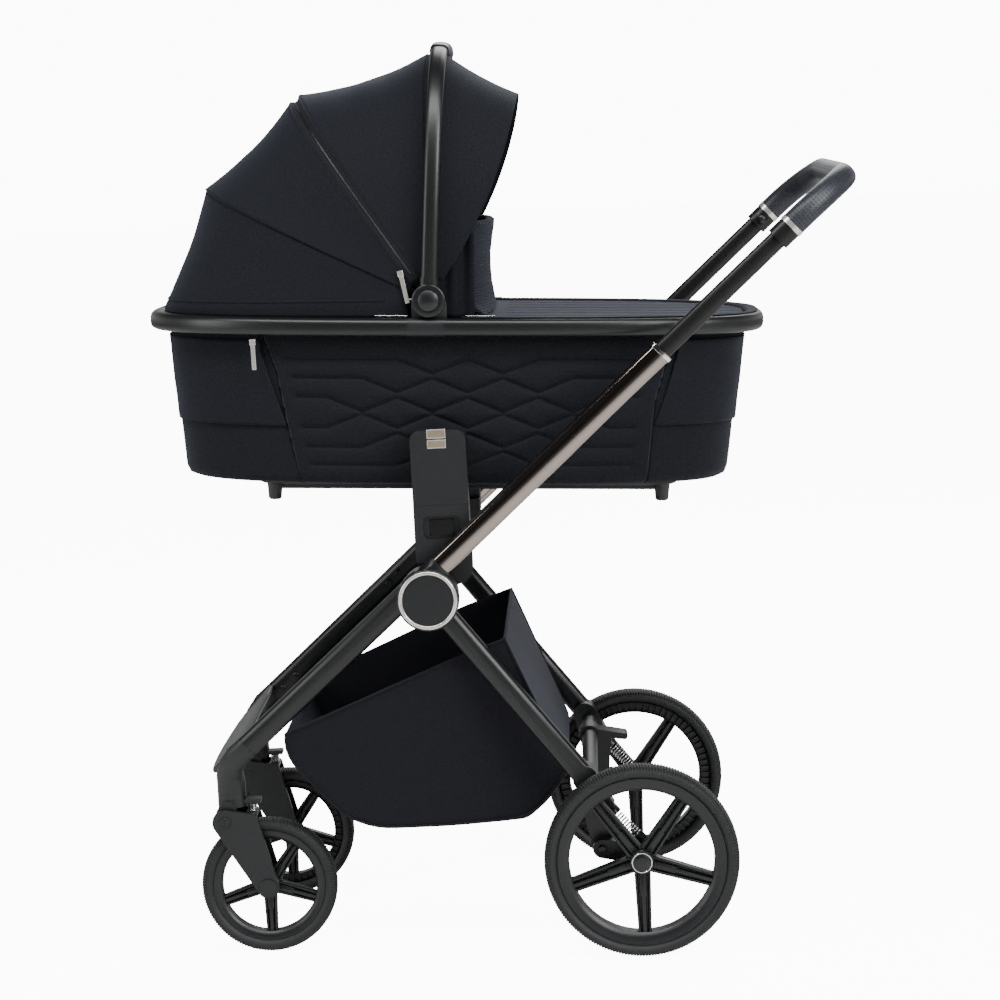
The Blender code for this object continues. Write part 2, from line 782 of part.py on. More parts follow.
def front_crosspiece(finish, axis):
    """The casting across the front: two castor housings with the footrest between them."""
    holes = []
    for side in (-1, 1):
        holes.append(
            post(
                CASTOR_X,
                side * FRONT_TRACK / 2,
                CASTOR_STEM_RADIUS + PIN_PLAY,
                HOUSING_BOTTOM - 0.005,
                HOUSING_BOTTOM + CASTOR_STEM_LENGTH + PIN_PLAY,
                16,
            )
        )
    return part(
        "front_crosspiece",
        finish,
        axis,
        footrest_slab(),
        joined=[castor_elbow(-1), castor_elbow(1)],
        cut=holes,
    )


def castor_block(side, word, finish, axis):
    """The castor's swivel block, with its stem, the tongue for the fork and the shelf over the spring."""
    y = side * FRONT_TRACK / 2
    top = HOUSING_BOTTOM - GAP
    neck = FORK_PIVOT[1] + FORK_PIVOT_RADIUS + GAP * 2
    width, length = HOUSING_SECTION
    rings = []
    for z in (neck, top):
        rings.append(
            placed(oval(length, width, TUBE_POWER), Vector((CASTOR_X, y, z)), Vector((1, 0, 0)), Vector((0, 1, 0)))
        )
    collar = skin(rings)
    stem = post(CASTOR_X, y, CASTOR_STEM_RADIUS, top - 0.003, top + CASTOR_STEM_LENGTH, 16)
    inner = FRONT_WHEEL_WIDTH / 2 + 0.002
    tongue = plate(
        around([(*FORK_PIVOT, 0.0125), (FORK_PIVOT[0] + 0.004, top - 0.0130, 0.0125)], 16),
        y - inner + GAP,
        y + inner - GAP,
    )
    shelf = block((CASTOR_X, FORK_LUG_X + 0.0125), (y - 0.0115, y + 0.0115), (top - SHELF_DEPTH, top - 0.0005))
    bore = pin(FORK_PIVOT, FORK_PIN_RADIUS + PIN_PLAY, y - 0.03, y + 0.03)
    return part(f"castor_block_{word}", finish, axis, collar, joined=[tongue, shelf, stem], cut=[bore])


def front_fork(side, word, finish, axis):
    """The sprung fork: two cheeks, the spring's lug, the pivot pin and the axle."""
    y = side * FRONT_TRACK / 2
    inner = FRONT_WHEEL_WIDTH / 2 + 0.002
    outer = inner + FORK_CHEEK
    lug_radius = FORK_LUG_DEPTH * 0.75
    lug_z = FORK_LUG_TOP - lug_radius
    outline = around(
        [
            (*FORK_PIVOT, FORK_PIVOT_RADIUS),
            (FRONT_AXLE.x, FRONT_AXLE.z, FORK_TIP_RADIUS),
            (FORK_LUG_X + 0.004, lug_z, lug_radius),
        ],
        16,
    )
    cheek = plate(outline, y - outer, y - inner)
    other = plate(outline, y + inner, y + outer)
    lug = block(
        (FORK_LUG_X - 0.0085, FORK_LUG_X + 0.0070),
        (y - inner - 0.003, y + inner + 0.003),
        (FORK_LUG_TOP - FORK_LUG_DEPTH, FORK_LUG_TOP),
    )
    pivot = pin(FORK_PIVOT, FORK_PIN_RADIUS, y - outer - 0.0012, y + outer + 0.0012)
    axle = pin(FRONT_AXLE, FRONT_AXLE_RADIUS, y - outer + 0.001, y + outer - 0.001)
    caps = []
    for direction in (-1, 1):
        low = y + direction * (outer - 0.002)
        high = y + direction * (outer + 0.0022)
        caps.append(pin(FRONT_AXLE, FORK_TIP_RADIUS - 0.003, min(low, high), max(low, high), steps=12))
    return part(f"front_fork_{word}", finish, axis, cheek, joined=[other, lug, pivot, axle, *caps])


def front_wheel_unit(side, word, looks, axis):
    """A front wheel and its tyre."""
    centre = FRONT_AXLE + Vector((0, side * FRONT_TRACK / 2, 0))
    seat = FRONT_WHEEL_RADIUS - FRONT_TYRE_HEIGHT
    half = FRONT_WHEEL_WIDTH / 2 + 0.0015
    spoked_wheel(
        f"front_wheel_{word}",
        looks["wheel"],
        axis,
        centre,
        seat,
        FRONT_RIM_DEPTH,
        FRONT_WHEEL_WIDTH * 0.74,
        (0.0145, -half, half),
        (FRONT_AXLE_RADIUS + PIN_PLAY, -0.03, 0.03),
        (0.013, 0.0185, 0.0150),
        FRONT_WHEEL_STEPS,
        math.radians(-90),
    )
    tyre(
        f"front_tyre_{word}",
        looks["tyre"],
        axis,
        centre,
        FRONT_WHEEL_RADIUS,
        FRONT_WHEEL_WIDTH,
        FRONT_TYRE_HEIGHT,
        FRONT_WHEEL_STEPS,
    )


def rear_spring_axis():
    """The rear spring's direction, down from its top cup."""
    return Vector((SPRING_BOTTOM[0] - SPRING_TOP[0], 0, SPRING_BOTTOM[1] - SPRING_TOP[1])).normalized()


def rear_leg(side, word, finish, axis):
    """An oval rear leg with its hub knuckle and, below, the bracket that carries the suspension arm."""
    knuckle = turned(
        [
            (HUB_PIN_RADIUS + PIN_PLAY, LEG_KNUCKLE_INNER),
            (KNUCKLE_RADIUS, LEG_KNUCKLE_INNER),
            (KNUCKLE_RADIUS, LEG_KNUCKLE_OUTER),
            (HUB_PIN_RADIUS + PIN_PLAY, LEG_KNUCKLE_OUTER),
        ],
        HUB,
        side,
        closed=True,
    )
    base = HUB + Vector((0, side * LEG_Y, 0))
    start = base + LEG_DIRECTION * (HUB_PIN_RADIUS + 0.016)
    end = base + LEG_DIRECTION * LEG_LENGTH
    tube = sweep([start, start.lerp(end, 0.5), end], oval(*LEG_SECTION, TUBE_POWER), LEG_NORMAL)
    foot = HUB + LEG_DIRECTION * (LEG_LENGTH - 0.012)
    spring_axis = rear_spring_axis()
    cup_end = Vector((SPRING_TOP[0], 0, SPRING_TOP[1]))
    cup_start = cup_end - spring_axis * 0.012
    sides = sorted((side * BRACKET_INNER_Y, side * (LEG_KNUCKLE_OUTER - 0.0005)))
    yoke_ends = [(foot.x, foot.z, 0.0175), (cup_start.x - 0.002, cup_start.z + 0.003, 0.0100)]
    yoke = plate(around(yoke_ends, 20), *sides)
    cheek_sides = sorted((side * BRACKET_INNER_Y, side * (ARM_PLATE_INNER_Y - GAP)))
    cheek = plate(
        around([(foot.x, foot.z, 0.0160), (*SUSPENSION_PIVOT, 0.0140), (cup_start.x, cup_start.z, 0.0060)], 20),
        *cheek_sides,
    )
    spring_y = Vector((0, side * (ARM_PLATE_INNER_Y + ARM_PLATE_THICKNESS / 2), 0))
    cup = rod(cup_start + spring_y, cup_end + spring_y, SPRING_CUP_RADIUS, 16)
    pivot = pin(
        SUSPENSION_PIVOT,
        FORK_PIN_RADIUS,
        BRACKET_INNER_Y + 0.002,
        ARM_PLATE_INNER_Y + ARM_PLATE_THICKNESS + 0.0025,
        side,
    )
    return part(f"rear_leg_{word}", finish, axis, knuckle, joined=[tube, yoke, cheek, cup, pivot])


def rear_arm(side, word, finish, axis):
    """The trailing arm: pivot eye, spring cup and the rear axle."""
    low = ARM_PLATE_INNER_Y
    high = low + ARM_PLATE_THICKNESS
    spring_axis = rear_spring_axis()
    cup_start = Vector((SPRING_BOTTOM[0], 0, SPRING_BOTTOM[1]))
    cup_end = cup_start + spring_axis * 0.014
    sides = sorted((side * low, side * high))
    body = plate(around([(*SUSPENSION_PIVOT, 0.0130), (REAR_AXLE.x, REAR_AXLE.z, 0.0150)], 20), *sides)
    middle = Vector((0, side * (low + high) / 2, 0))
    cup = rod(cup_start + middle, cup_end + middle, SPRING_CUP_RADIUS, 16)
    axle = pin(REAR_AXLE, AXLE_RADIUS, low + 0.004, REAR_TRACK / 2 + REAR_WHEEL_WIDTH / 2 - 0.006, side, 16)
    bore = pin(SUSPENSION_PIVOT, FORK_PIN_RADIUS + PIN_PLAY, low - 0.01, high + 0.01, side)
    return part(f"rear_arm_{word}", finish, axis, body, joined=[cup, axle], cut=[bore])


def rear_wheel_unit(side, word, looks, axis):
    """A rear wheel and its tyre."""
    centre = REAR_AXLE + Vector((0, side * REAR_TRACK / 2, 0))
    seat = REAR_WHEEL_RADIUS - REAR_TYRE_HEIGHT
    inward = ARM_PLATE_INNER_Y + ARM_PLATE_THICKNESS + 0.0032 - REAR_TRACK / 2
    outward = REAR_WHEEL_WIDTH / 2 - 0.001
    bore_end = REAR_WHEEL_WIDTH / 2 - 0.006 + PIN_PLAY
    hub = (0.0165, *sorted((side * inward, side * outward)))
    if side < 0:
        hub = (0.0165, side * outward, side * inward)
    bore = (AXLE_RADIUS + PIN_PLAY, *sorted((side * (inward - 0.01), side * bore_end)))
    spoked_wheel(
        f"rear_wheel_{word}",
        looks["wheel"],
        axis,
        centre,
        seat,
        REAR_RIM_DEPTH,
        REAR_WHEEL_WIDTH * 0.76,
        hub,
        bore,
        (0.017, 0.0230, 0.0180),
        WHEEL_STEPS,
        math.radians(-90),
    )
    tyre(
        f"rear_tyre_{word}",
        looks["tyre"],
        axis,
        centre,
        REAR_WHEEL_RADIUS,
        REAR_WHEEL_WIDTH,
        REAR_TYRE_HEIGHT,
        WHEEL_STEPS,
    )


def rear_crossbar(finish, axis):
    """The round bar between the two rear brackets."""
    reach = BRACKET_INNER_Y - GAP
    return part(
        "rear_crossbar", finish, axis, pin((CROSSBAR_X, CROSSBAR_Z), CROSSBAR_RADIUS, -reach, reach, steps=20)
    )


def brake_pedal(finish, axis):
    """The brake's pedal, which turns on the rear crossbar."""
    low = PEDAL_Y - PEDAL_WIDTH / 2
    high = PEDAL_Y + PEDAL_WIDTH / 2
    wall = 0.0045
    sleeve = plate(around([(CROSSBAR_X, CROSSBAR_Z, CROSSBAR_RADIUS + wall)], 24), low, high)
    tip = (CROSSBAR_X + PEDAL_REACH, CROSSBAR_Z - 0.004)
    pad = plate(
        around([(CROSSBAR_X + 0.008, CROSSBAR_Z + 0.004, 0.0055), (*tip, 0.0045)], 12),
        low + 0.003,
        high - 0.003,
    )
    bore = pin((CROSSBAR_X, CROSSBAR_Z), CROSSBAR_RADIUS + GAP, low - 0.01, high + 0.01, steps=20)
    return part("brake_pedal", finish, axis, sleeve, joined=[pad], cut=[bore])


# Fold hub and handle


def along_handle(reach, side=0, y=0.0, rise=0.0):
    """A place on the handle's line: reach from the hub's foot, rise square to the line."""
    return HANDLE_FOOT + HANDLE_DIRECTION * reach + HANDLE_NORMAL * rise + Vector((0, side * y, 0))


def hub_cover(side, word, finish, axis):
    """The handle's knuckle: a round cover with a groove for its ring, and the socket for the tube."""
    bore = HUB_PIN_RADIUS + PIN_PLAY
    groove_outer = HUB_RADIUS - HUB_RING_INSET
    groove_inner = groove_outer - HUB_RING_WIDTH
    profile = [
        (bore, COVER_INNER),
        (HUB_RADIUS, COVER_INNER),
        (HUB_RADIUS, COVER_OUTER - 0.0015),
        (HUB_RADIUS - 0.0015, COVER_OUTER),
        (groove_outer, COVER_OUTER),
        (groove_outer, COVER_OUTER - HUB_RING_SEAT),
        (groove_inner, COVER_OUTER - HUB_RING_SEAT),
        (groove_inner, COVER_OUTER),
        (0, COVER_OUTER),
    ]
    bore_end = COVER_OUTER - 0.007 + PIN_PLAY
    disc = turned([(0, bore_end), (bore, bore_end), *profile], HUB, side, steps=28)
    socket = (OUTER_TUBE[0] + 2 * SOCKET_WALL, OUTER_TUBE[1] + 2 * SOCKET_WALL)
    socket_y = COVER_INNER + socket[0] / 2
    neck = sweep(
        [along_handle(0.012, side, socket_y), along_handle(SOCKET_REACH, side, socket_y)],
        oval(*socket, TUBE_POWER),
        HANDLE_NORMAL,
    )
    room = OUTER_WALL + GAP
    spigot = sweep(
        [along_handle(SOCKET_REACH - 0.01, side, TUBE_Y), along_handle(SOCKET_REACH + 0.035, side, TUBE_Y)],
        oval(OUTER_TUBE[0] - 2 * room, OUTER_TUBE[1] - 2 * room, TUBE_POWER),
        HANDLE_NORMAL,
    )
    return part(f"hub_cover_{word}", finish, axis, disc, joined=[neck, spigot])


def hub_ring(side, word, finish, axis):
    """The polished ring in a hub cover."""
    outer = HUB_RADIUS - HUB_RING_INSET - GAP
    inner = HUB_RADIUS - HUB_RING_INSET - HUB_RING_WIDTH + GAP
    low = COVER_OUTER - HUB_RING_SEAT + GAP
    high = COVER_OUTER + HUB_RING_RISE
    edge = 0.0008
    profile = [(inner, low), (outer, low), (outer - edge / 2, high), (inner + edge / 2, high)]
    return part(f"hub_ring_{word}", finish, axis, turned(profile, HUB, side, steps=28, closed=True))


def outer_tube(side, word, finish, axis):
    """The handle's polished outer tube, open at both ends, with the ring that closes it round the inner tube."""
    start = along_handle(SOCKET_REACH + GAP, side, TUBE_Y)
    end = along_handle(OUTER_TUBE_END, side, TUBE_Y)
    ring_end = along_handle(OUTER_TUBE_END + TRIM_RING_LENGTH, side, TUBE_Y)
    bore = oval(OUTER_TUBE[0] - 2 * OUTER_WALL, OUTER_TUBE[1] - 2 * OUTER_WALL, TUBE_POWER)
    tube = sweep([start, end], oval(*OUTER_TUBE, TUBE_POWER), HANDLE_NORMAL, bore=bore)
    section = oval(OUTER_TUBE[0] + 0.0010, OUTER_TUBE[1] + 0.0016, TUBE_POWER)
    close = oval(INNER_TUBE[0] + 2 * SLIDE_PLAY, INNER_TUBE[1] + 2 * SLIDE_PLAY, TUBE_POWER)
    ring = sweep([end - HANDLE_DIRECTION * 0.0006, ring_end], section, HANDLE_NORMAL, bore=close)
    return part(f"outer_tube_{word}", finish, axis, tube, joined=[ring])


def handle_path(start, steps=6):
    """The handle bar's middle line from one side to the other, round its two bends."""
    straight_end = CROSSBAR_REACH - HANDLE_BEND

    def drop(reach):
        share = max(0.0, (reach - straight_end) / HANDLE_BEND)
        return -CROSSBAR_DROP * share * share

    points = []
    for side in (-1, 1):
        half = [along_handle(start, side, TUBE_Y)]
        for number in range(steps + 1):
            angle = 0.5 * math.pi * number / steps
            reach = straight_end + HANDLE_BEND * math.sin(angle)
            y = TUBE_Y - HANDLE_BEND * (1 - math.cos(angle))
            half.append(along_handle(reach, side, y, drop(reach)))
        points.append(half)
    middle = along_handle(CROSSBAR_REACH, 0, 0.0, -CROSSBAR_DROP)
    return points[0] + [middle] + points[1][::-1]


def handle_bar(finish, axis):
    """The sliding U of the handle, with the collars that hold its buttons."""
    bar = sweep(handle_path(INNER_TUBE_START), oval(*INNER_TUBE, TUBE_POWER), HANDLE_NORMAL)
    collars = []
    holes = []
    for side in (-1, 1):
        start = along_handle(COLLAR_START, side, TUBE_Y)
        end = along_handle(GRIP_START - TRIM_RING_LENGTH - 2 * GAP, side, TUBE_Y)
        section = oval(GRIP_SECTION[0] - 0.002, GRIP_SECTION[1] - 0.001, TUBE_POWER)
        collars.append(sweep([start, end], section, HANDLE_NORMAL))
        centre = (start + end) / 2
        face = TUBE_Y - GRIP_SECTION[0] / 2
        holes.append(pin(centre, BUTTON_RADIUS + PIN_PLAY, face - 0.01, face + BUTTON_POCKET, side, 16))
    return part("handle_bar", finish, axis, bar, joined=collars, cut=holes)


def button_centre():
    """The middle of a handle button, on its collar."""
    start = along_handle(COLLAR_START)
    end = along_handle(GRIP_START - TRIM_RING_LENGTH - 2 * GAP)
    return (start + end) / 2


def handle_button(side, word, finish, axis):
    """The round button on the inner face of a collar."""
    face = TUBE_Y - GRIP_SECTION[0] / 2
    low = face - BUTTON_PROUD
    profile = [
        (0, low),
        (BUTTON_RADIUS - 0.001, low),
        (BUTTON_RADIUS, low + 0.001),
        (BUTTON_RADIUS, low + BUTTON_DEPTH),
        (0, low + BUTTON_DEPTH),
    ]
    return part(f"handle_button_{word}", finish, axis, turned(profile, button_centre(), side, 16))


def grip(finish, axis):
    """The padded leather grip round the handle's U."""
    section = oval(*GRIP_SECTION, 2.3)
    bore = oval(INNER_TUBE[0] + 2 * GAP, INNER_TUBE[1] + 2 * GAP, TUBE_POWER)
    return part("grip", finish, axis, sweep(handle_path(GRIP_START), section, HANDLE_NORMAL, bore=bore))


def grip_ring(side, word, finish, axis):
    """The polished ring between a collar and the grip."""
    start = along_handle(GRIP_START - TRIM_RING_LENGTH - GAP, side, TUBE_Y)
    end = along_handle(GRIP_START - GAP, side, TUBE_Y)
    section = oval(GRIP_SECTION[0] + 0.0010, GRIP_SECTION[1] + 0.0010, 2.5)
    bore = oval(INNER_TUBE[0] + 2 * GAP, INNER_TUBE[1] + 2 * GAP, TUBE_POWER)
    return part(f"grip_ring_{word}", finish, axis, sweep([start, end], section, HANDLE_NORMAL, bore=bore))


# Carrycot posts


def post_sides(side, low, high):
    """A post's y range on one side."""
    return sorted((side * low, side * high))


def adapter_socket(side, word, finish, axis):
    """The chassis half of a post: a plate on the hub's knuckle, the socket and the button's recess."""
    outer = POST_OUTER_Y
    inner = POST_INNER_Y - SOCKET_LAP
    upper = plate(
        rounded_box(POST_X, (SOCKET_SHOULDER_Z, SOCKET_TOP_Z), (0, 0.012, 0, 0), 3),
        *post_sides(side, inner, outer),
    )
    plate_inner = HUB_INNER_Y - GAP - SOCKET_PLATE_DEPTH
    lower = plate(
        rounded_box(POST_X, (SOCKET_BASE_Z, SOCKET_SHOULDER_Z + 0.033), (0.010, 0.022, 0, 0), 3),
        *post_sides(side, plate_inner, HUB_INNER_Y - GAP),
    )
    middle = (POST_X[0] + POST_X[1]) / 2
    half_x = RELEASE_BUTTON[0] / 2
    half_z = RELEASE_BUTTON[1] / 2
    recess = plate(
        rounded_box(
            (middle - half_x - 0.009, middle + half_x + 0.009),
            (RELEASE_Z - half_z - 0.005, RELEASE_Z + half_z + 0.005),
            (0.007,) * 4,
            3,
        ),
        *post_sides(side, outer - RECESS_DEPTH, outer + 0.005),
    )
    pocket_floor = outer - RECESS_DEPTH - RELEASE_TRAVEL - 0.003
    well = block(
        (middle - half_x - GAP, middle + half_x + GAP),
        post_sides(side, pocket_floor, outer),
        (RELEASE_Z - half_z - GAP, RELEASE_Z + half_z + GAP),
    )
    tongue_x, tongue_y, tongue_z = TONGUE
    tongue_centre = tongue_place()
    slot = block(
        (middle - tongue_x / 2 - GAP, middle + tongue_x / 2 + GAP),
        post_sides(side, tongue_centre - tongue_y / 2 - GAP, tongue_centre + tongue_y / 2 + GAP),
        (SOCKET_TOP_Z - tongue_z - 0.001, SOCKET_TOP_Z + 0.005),
    )
    return part(f"adapter_socket_{word}", finish, axis, upper, joined=[lower], cut=[recess, well, slot])


def tongue_place():
    """The middle y of a post's tongue."""
    return POST_INNER_Y + TONGUE_SETBACK + TONGUE[1] / 2


def release_button(side, word, finish, axis):
    """The oblong button in a socket's recess."""
    middle = (POST_X[0] + POST_X[1]) / 2
    half_x = RELEASE_BUTTON[0] / 2
    half_z = RELEASE_BUTTON[1] / 2
    face = POST_OUTER_Y - RECESS_DEPTH + 0.002
    back = face - 0.0045
    across = (middle - half_x, middle + half_x)
    outline = rounded_box(across, (RELEASE_Z - half_z, RELEASE_Z + half_z), (0.003,) * 4, 2)
    return part(f"release_button_{word}", finish, axis, plate(outline, *post_sides(side, back, face)))


def carrycot_post(side, word, finish, axis):
    """The carrycot half of a post, with the tongue that drops into the socket."""
    middle = (POST_X[0] + POST_X[1]) / 2
    low = SOCKET_TOP_Z + GAP
    body = plate(
        rounded_box(POST_X, (low, POST_TOP_Z), (0, 0, POST_CORNER, POST_CORNER), 4),
        *post_sides(side, POST_INNER_Y, POST_OUTER_Y),
    )
    tongue_x, tongue_y, tongue_z = TONGUE
    tongue_centre = tongue_place()
    tongue = block(
        (middle - tongue_x / 2, middle + tongue_x / 2),
        post_sides(side, tongue_centre - tongue_y / 2, tongue_centre + tongue_y / 2),
        (low - tongue_z, low + 0.003),
    )
    return part(f"carrycot_post_{word}", finish, axis, body, joined=[tongue])


# Carrycot


def cot_outline(half_length, half_width, w, steps=40, shift=0.0, power=RIM_POWER):
    """The carrycot's plan at height w, as points of its own frame."""
    points = []
    for number in range(steps):
        angle = 2 * math.pi * (number + 0.5) / steps
        c, s = math.cos(angle), math.sin(angle)
        u = math.copysign(abs(c) ** (2 / power), c) * half_length + shift
        v = math.copysign(abs(s) ** (2 / power), s) * half_width
        points.append(Vector((u, v, w)))
    return points


def carrycot_rim(finish, axis):
    """The rim tube all round, with the moulded ears that carry the hood and the carry handle."""
    steps = 40
    centre = cot_outline(RIM_HALF_LENGTH - RIM_SECTION[0] / 2, RIM_HALF_WIDTH - RIM_SECTION[0] / 2, 0.0, steps)
    section = oval(*RIM_SECTION, 3.0, 10)
    up = Vector((0, 0, 1))
    rings = []
    for number, point in enumerate(centre):
        ahead = (centre[(number + 1) % steps] - centre[number - 1]).normalized()
        rings.append(placed(section, point, ahead.cross(up).normalized(), up))
    ring = skin(rings, closed=True)
    to_cot = world_of(axis).inverted()
    ears = []
    for side in (-1, 1):
        rim_z = rim_world_z(PIVOT.x)
        sleeve = plate(
            rounded_box(
                (PIVOT.x - 0.0355, PIVOT.x + 0.0320),
                (rim_z - RIM_SECTION[1] / 2 - 0.0008, rim_z + RIM_SECTION[1] / 2 + 0.0008),
                (0.004,) * 4,
                2,
            ),
            *post_sides(side, EAR_INNER, RIM_HALF_WIDTH + 0.0008),
        )
        ear = plate(
            around(
                [
                    (PIVOT.x, PIVOT.z, EAR_RADIUS),
                    (PIVOT.x - 0.021, rim_z, 0.002),
                    (PIVOT.x + 0.025, rim_z, 0.002),
                    (PIVOT.x + 0.025, PIVOT.z - 0.004, 0.002),
                ],
                20,
            ),
            *post_sides(side, EAR_INNER, EAR_OUTER),
        )
        pivot_pin = pin(PIVOT, PIVOT_PIN_RADIUS, BOW_INNER_Y - 0.001, HANDLE_EYE_INNER + 0.009, side)
        for shape in (sleeve, ear, pivot_pin):
            shape.transform(to_cot)
            ears.append(shape)
    return part("carrycot_rim", finish, axis, ring, joined=ears, local=True)


def rim_world_z(x):
    """World height of the rim's middle at a world x."""
    return COT_Z - (x - COT_X) * math.tan(COT_TILT)


def carrycot_shell(finish, axis):
    """The fabric tub, open at the top, hung inside the rim."""
    depth = SHELL_DEPTH

    def ring(w, inset):
        share = (SHELL_TOP - w) / (SHELL_TOP + depth)
        half_length = SHELL_HALF_LENGTH - SHELL_END_TAPER * share - inset
        return cot_outline(half_length, SHELL_HALF_WIDTH - inset, w)

    round_size = SHELL_BASE_ROUND
    outer = [
        ring(SHELL_TOP, 0),
        ring(-depth / 2, 0),
        ring(-depth + round_size, 0),
        ring(-depth + round_size * 0.3, round_size * 0.3),
        ring(-depth, round_size),
    ]
    wall = SHELL_WALL
    inner = [
        ring(-depth + wall, round_size + wall),
        ring(-depth + wall + round_size * 0.3, round_size * 0.3 + wall),
        ring(-depth + wall + round_size, wall),
        ring(-depth / 2, wall),
        ring(SHELL_TOP, wall),
    ]
    return part("carrycot_shell", finish, axis, skin(inner + outer), local=True)


def floor_board(finish, axis):
    """The board under the tub, with its four tapered feet."""
    start, end, thickness = FLOOR_BOARD
    half = FLOOR_HALF_WIDTH
    top = -SHELL_DEPTH - GAP
    middle = (start + end) / 2
    rings = []
    for w, inset in ((top, 0.0), (top - thickness + 0.002, 0.0), (top - thickness, 0.002)):
        rings.append(cot_outline((end - start) / 2 - inset, half - inset, w, 32, middle, FLOOR_POWER))
    feet = []
    low = top - thickness - FOOT_HEIGHT
    for u in FOOT_U:
        for v in (-FOOT_V, FOOT_V):
            foot = []
            stages = ((top - thickness / 2, FOOT_RADII[0]), (low + 0.002, FOOT_RADII[1]), (low, FOOT_RADII[1] - 0.002))
            for w, radius in stages:
                ring = []
                for number in range(12):
                    angle = 2 * math.pi * number / 12
                    ring.append(Vector((u + radius * math.cos(angle), v + radius * math.sin(angle), w)))
                foot.append(ring)
            feet.append(skin(foot))
    return part("floor_board", finish, axis, skin(rings), joined=feet, local=True)


def mattress(finish, axis):
    """The mattress on the tub's floor: crowned, with its sides drawn in at the edges."""
    low = -SHELL_DEPTH + SHELL_WALL + GAP
    length = SHELL_HALF_LENGTH - SHELL_END_TAPER - 0.022
    width = SHELL_HALF_WIDTH - 0.022
    top = low + MATTRESS_THICKNESS
    # Each row: height, share of the plan
    rows = (
        (low, 0.94),
        (low + 0.008, 0.99),
        (low + MATTRESS_THICKNESS / 2, 1.0),
        (top - 0.006, 0.985),
        (top, 0.94),
        (top + MATTRESS_CROWN * 0.6, 0.75),
        (top + MATTRESS_CROWN, 0.40),
    )
    rings = [cot_outline(length * share, width * share, w, 28) for w, share in rows]
    return part("mattress", finish, axis, skin(rings), local=True)


def apron(finish, axis):
    """The quilted cover over the foot end: channels run along it, and its sides draw in to the rim."""
    base = RIM_SECTION[1] / 2 + GAP
    half_width = RIM_HALF_WIDTH - 0.010
    end = RIM_HALF_LENGTH - 0.010
    length = end - APRON_BAND_END_U
    rows = 9
    per_channel = 3
    columns = APRON_CHANNELS * per_channel
    top = []
    bottom = []
    for row in range(-1, rows + 1):
        along = max(row, 0) / rows
        u = APRON_BAND_END_U + length * math.sin(0.5 * math.pi * along) if row >= 0 else APRON_START_U
        half = half_width * max(0.02, 1 - (max(u, 0.0) / end) ** RIM_POWER) ** (1 / RIM_POWER)
        top_row = []
        bottom_row = []
        for column in range(columns + 1):
            share = 2 * column / columns - 1
            edge = (1 - abs(share) ** 4) * min(1.0, 1.02 - (u / end) ** 8)
            channel = APRON_CHANNEL_DEPTH * (1.0 if column % per_channel == 0 else 0.0)
            lift = APRON_THICKNESS * (APRON_RIM_SHARE + (1 - APRON_RIM_SHARE) * edge)
            lift += edge * (APRON_CROWN * (1 - share * share) - channel)
            if row <= 0:
                lift = APRON_BAND_THICKNESS
            top_row.append(Vector((u, half * share, base + lift)))
            bottom_row.append(Vector((u, half * share, base)))
        top.append(top_row)
        bottom.append(bottom_row)
    return part("apron", finish, axis, shell(top, bottom), local=True)


def shell(outer, inner):
    """A closed sheet between two grids of points."""
    shape = bmesh.new()
    grids = []
    for grid in (outer, inner):
        grids.append([[shape.verts.new(point) for point in row] for row in grid])
    top, low = grids
    rows = len(outer)
    columns = len(outer[0])
    for row in range(rows - 1):
        for column in range(columns - 1):
            after = column + 1
            shape.faces.new((top[row][column], top[row][after], top[row + 1][after], top[row + 1][column]))
            shape.faces.new((low[row][column], low[row + 1][column], low[row + 1][after], low[row][after]))
        for column in (0, columns - 1):
            upper = (top[row][column], top[row + 1][column])
            shape.faces.new((*upper, low[row + 1][column], low[row][column]))
    for row in (0, rows - 1):
        for column in range(columns - 1):
            after = column + 1
            shape.faces.new((top[row][column], low[row][column], low[row][after], top[row][after]))
    return shape


def apron_flap(finish, axis):
    """The apron's padded wind flap: it stands on the apron's front band and bows towards the foot end."""
    base = RIM_SECTION[1] / 2 + APRON_BAND_THICKNESS + 2 * GAP
    columns = 12
    rows = FLAP_RIBS * 2
    front = []
    back = []
    for row in range(rows + 1):
        rise = row / rows
        front_row = []
        back_row = []
        for column in range(columns + 1):
            share = 2 * column / columns - 1
            corner = max(0.0, abs(share) - 0.6) / 0.4
            height = FLAP_HEIGHT * (1 - 0.30 * corner * corner)
            swell = 0.0014 * (row % 2) * (1 - abs(share) ** 6)
            waist = FLAP_WAIST * math.sin(math.pi * rise)
            thin = 1 - 0.5 * rise ** 8 - 0.5 * abs(share) ** 8
            u = FLAP_U - FLAP_BOW * abs(share) ** 2.5 - waist
            v = FLAP_HALF_WIDTH * share * (1 - 0.04 * rise)
            front_row.append(Vector((u + swell, v, base + height * rise)))
            back_row.append(Vector((u - FLAP_THICKNESS * thin - swell, v, base + height * rise)))
        front.append(front_row)
        back.append(back_row)
    return part("apron_flap", finish, axis, shell(front, back), local=True)


# Hood and carry handle


def hoop(radius, half_width, start=0.0, steps=16, power=HOOD_POWER):
    """Half a hoop about the pivot line, as (y, reach) pairs from one side to the other.

    It starts at a reach of start beside the pivot and rises to radius in the middle.
    """
    points = []
    for number in range(steps + 1):
        angle = math.pi * number / steps
        c, s = -math.cos(angle), math.sin(angle)
        y = math.copysign(abs(c) ** (2 / power), c) * half_width
        reach = start + (radius - start) * abs(s) ** (2 / power)
        points.append((y, reach))
    return points


def on_bow(angle, y, reach):
    """A world place on a bow's plane, where angle leans from upright towards +X."""
    return PIVOT + Vector((math.sin(angle) * reach, y, math.cos(angle) * reach))


def flat_bar(across, up):
    """A flat bar's section."""
    return [(-across / 2, -up / 2), (across / 2, -up / 2), (across / 2, up / 2), (-across / 2, up / 2)]


